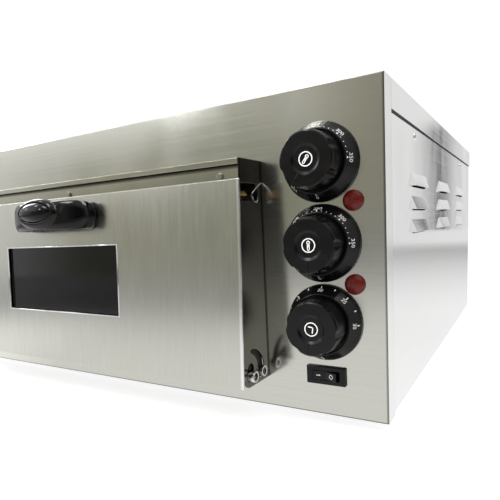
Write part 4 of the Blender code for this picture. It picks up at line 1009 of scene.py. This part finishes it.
def floor():
    form = bmesh.new()
    bmesh.ops.create_grid(form, x_segments=24, y_segments=24, size=FLOOR_HALF)
    data = bpy.data.meshes.new("floor")
    form.to_mesh(data)
    form.free()
    made = bpy.data.materials.new("floor_paper")
    made.use_nodes = True
    g = Graph(made.node_tree)
    out = g.node("ShaderNodeOutputMaterial")
    g.feed(out, "Surface", seen_or_bounced(g, floor_bounced(g), floor_seen(g)))
    data.materials.append(made)
    piece = bpy.data.objects.new("floor", data)
    piece.location = (0, 0, -FLOOR_DROP)
    bpy.context.scene.collection.objects.link(piece)


def area_light(name, place, target, size, watts, mirrored=True):
    data = bpy.data.lights.new(name, "AREA")
    data.shape = "RECTANGLE"
    data.size, data.size_y = size
    data.energy = watts
    light = bpy.data.objects.new(name, data)
    light.location = place
    light.rotation_euler = (Vector(target) - Vector(place)).to_track_quat("-Z", "Y").to_euler()
    light.visible_glossy = mirrored
    bpy.context.scene.collection.objects.link(light)
    return light


def room(g):
    """The room's brightness by direction: lit on the oven's left and behind it, dim in front of it."""
    direction = g.node("ShaderNodeTexCoord").outputs["Generated"]
    x, y, z = g.axes(direction)
    bearing = g.math("ARCTAN2", g.math("MULTIPLY", x, -1.0), g.math("MULTIPLY", y, -1.0))

    def around(stops):
        stops = ROOM_RIGHT + stops + ROOM_BEHIND
        return g.ramp(g.remap(bearing, -pi, pi), [((degrees + 180) / 360, value) for degrees, value in stops])

    def above(elevations, to_low=0.0, to_high=1.0):
        low, high = (sin(radians(degrees)) for degrees in elevations)
        return g.remap(z, low, high, to_low, to_high)
    tone = g.mix(above(LOW_TO_HIGH), around(ROOM_LOW), around(ROOM_HIGH))
    tone = g.mix(above(HIGH_TO_CEILING), tone, colour(CEILING))
    post = g.ramp(g.remap(bearing, radians(POST_REACH[0]), radians(POST_REACH[1])), POST_PROFILE)
    return g.mix(g.math("MULTIPLY", post, above(POST_TOP, 1.0, 0.0)), tone, colour(POST_TONE))


def studio():
    """The room, white for the camera, two soft lights, and the lamps that show in steel and plastic."""
    world = bpy.data.worlds.new("studio")
    world.use_nodes = True
    g = Graph(world.node_tree)
    mirrored = g.node("ShaderNodeBackground", Color=room(g), Strength=1.0).outputs[0]
    white = g.node("ShaderNodeBackground", Color=colour(1.0), Strength=1.05).outputs[0]
    out = g.node("ShaderNodeOutputWorld")
    g.feed(out, "Surface", seen_or_bounced(g, mirrored, white))
    bpy.context.scene.world = world
    area_light("key", (-1.1, -1.2, 1.9), (0, 0, 0.1), (1.2, 1.2), 45.0, mirrored=False)
    area_light("front_fill", (1.0, -1.9, 1.2), (0, -0.2, 0.1), (1.0, 1.0), 16.0, mirrored=False)
    overhead = area_light("overhead_strip", (0.10, 0.60, 1.73), (0.10, 0.60, 0.0), (2.6, 0.7), 40.0)
    overhead.rotation_euler = (0, 0, radians(-25))
    area_light("window", (-1.9, 0.05, 1.35), (-0.05, -0.3, 0.2), (1.3, 0.8), 24.0)
    area_light("front_softbox", (-0.55, -1.34, 1.75), (0.24, -0.26, 0.26), (0.7, 0.7), 15.0)
    for number, (place, watts) in enumerate(SPARKS):
        area_light(f"spark_{number}", place, DOME_PLACE, SPARK_SIZE, watts)


def camera():
    data = bpy.data.cameras.new("camera")
    data.sensor_width = SENSOR
    data.lens = LENS
    data.shift_x, data.shift_y = SHIFT
    data.clip_start = NEAR_CLIP
    piece = bpy.data.objects.new("camera", data)
    turn = Euler([radians(angle) for angle in CAMERA_TURN])
    piece.matrix_world = Matrix.Translation(CAMERA_PLACE) @ turn.to_matrix().to_4x4()
    bpy.context.scene.collection.objects.link(piece)
    bpy.context.scene.camera = piece


camera()
bpy.context.scene.view_settings.view_transform = "Standard"
FINISHES = make_materials()
dress_frame(FINISHES)
printed_marks()
soft_handle(FINISHES["gloss_black"])
soft_button(FINISHES["dome_black"])
window_bead(FINISHES["chrome"])
# A black strip that paints the shadow under the lid's flanges.
lid_seam(FINISHES["black_rubber"])
floor()
studio()
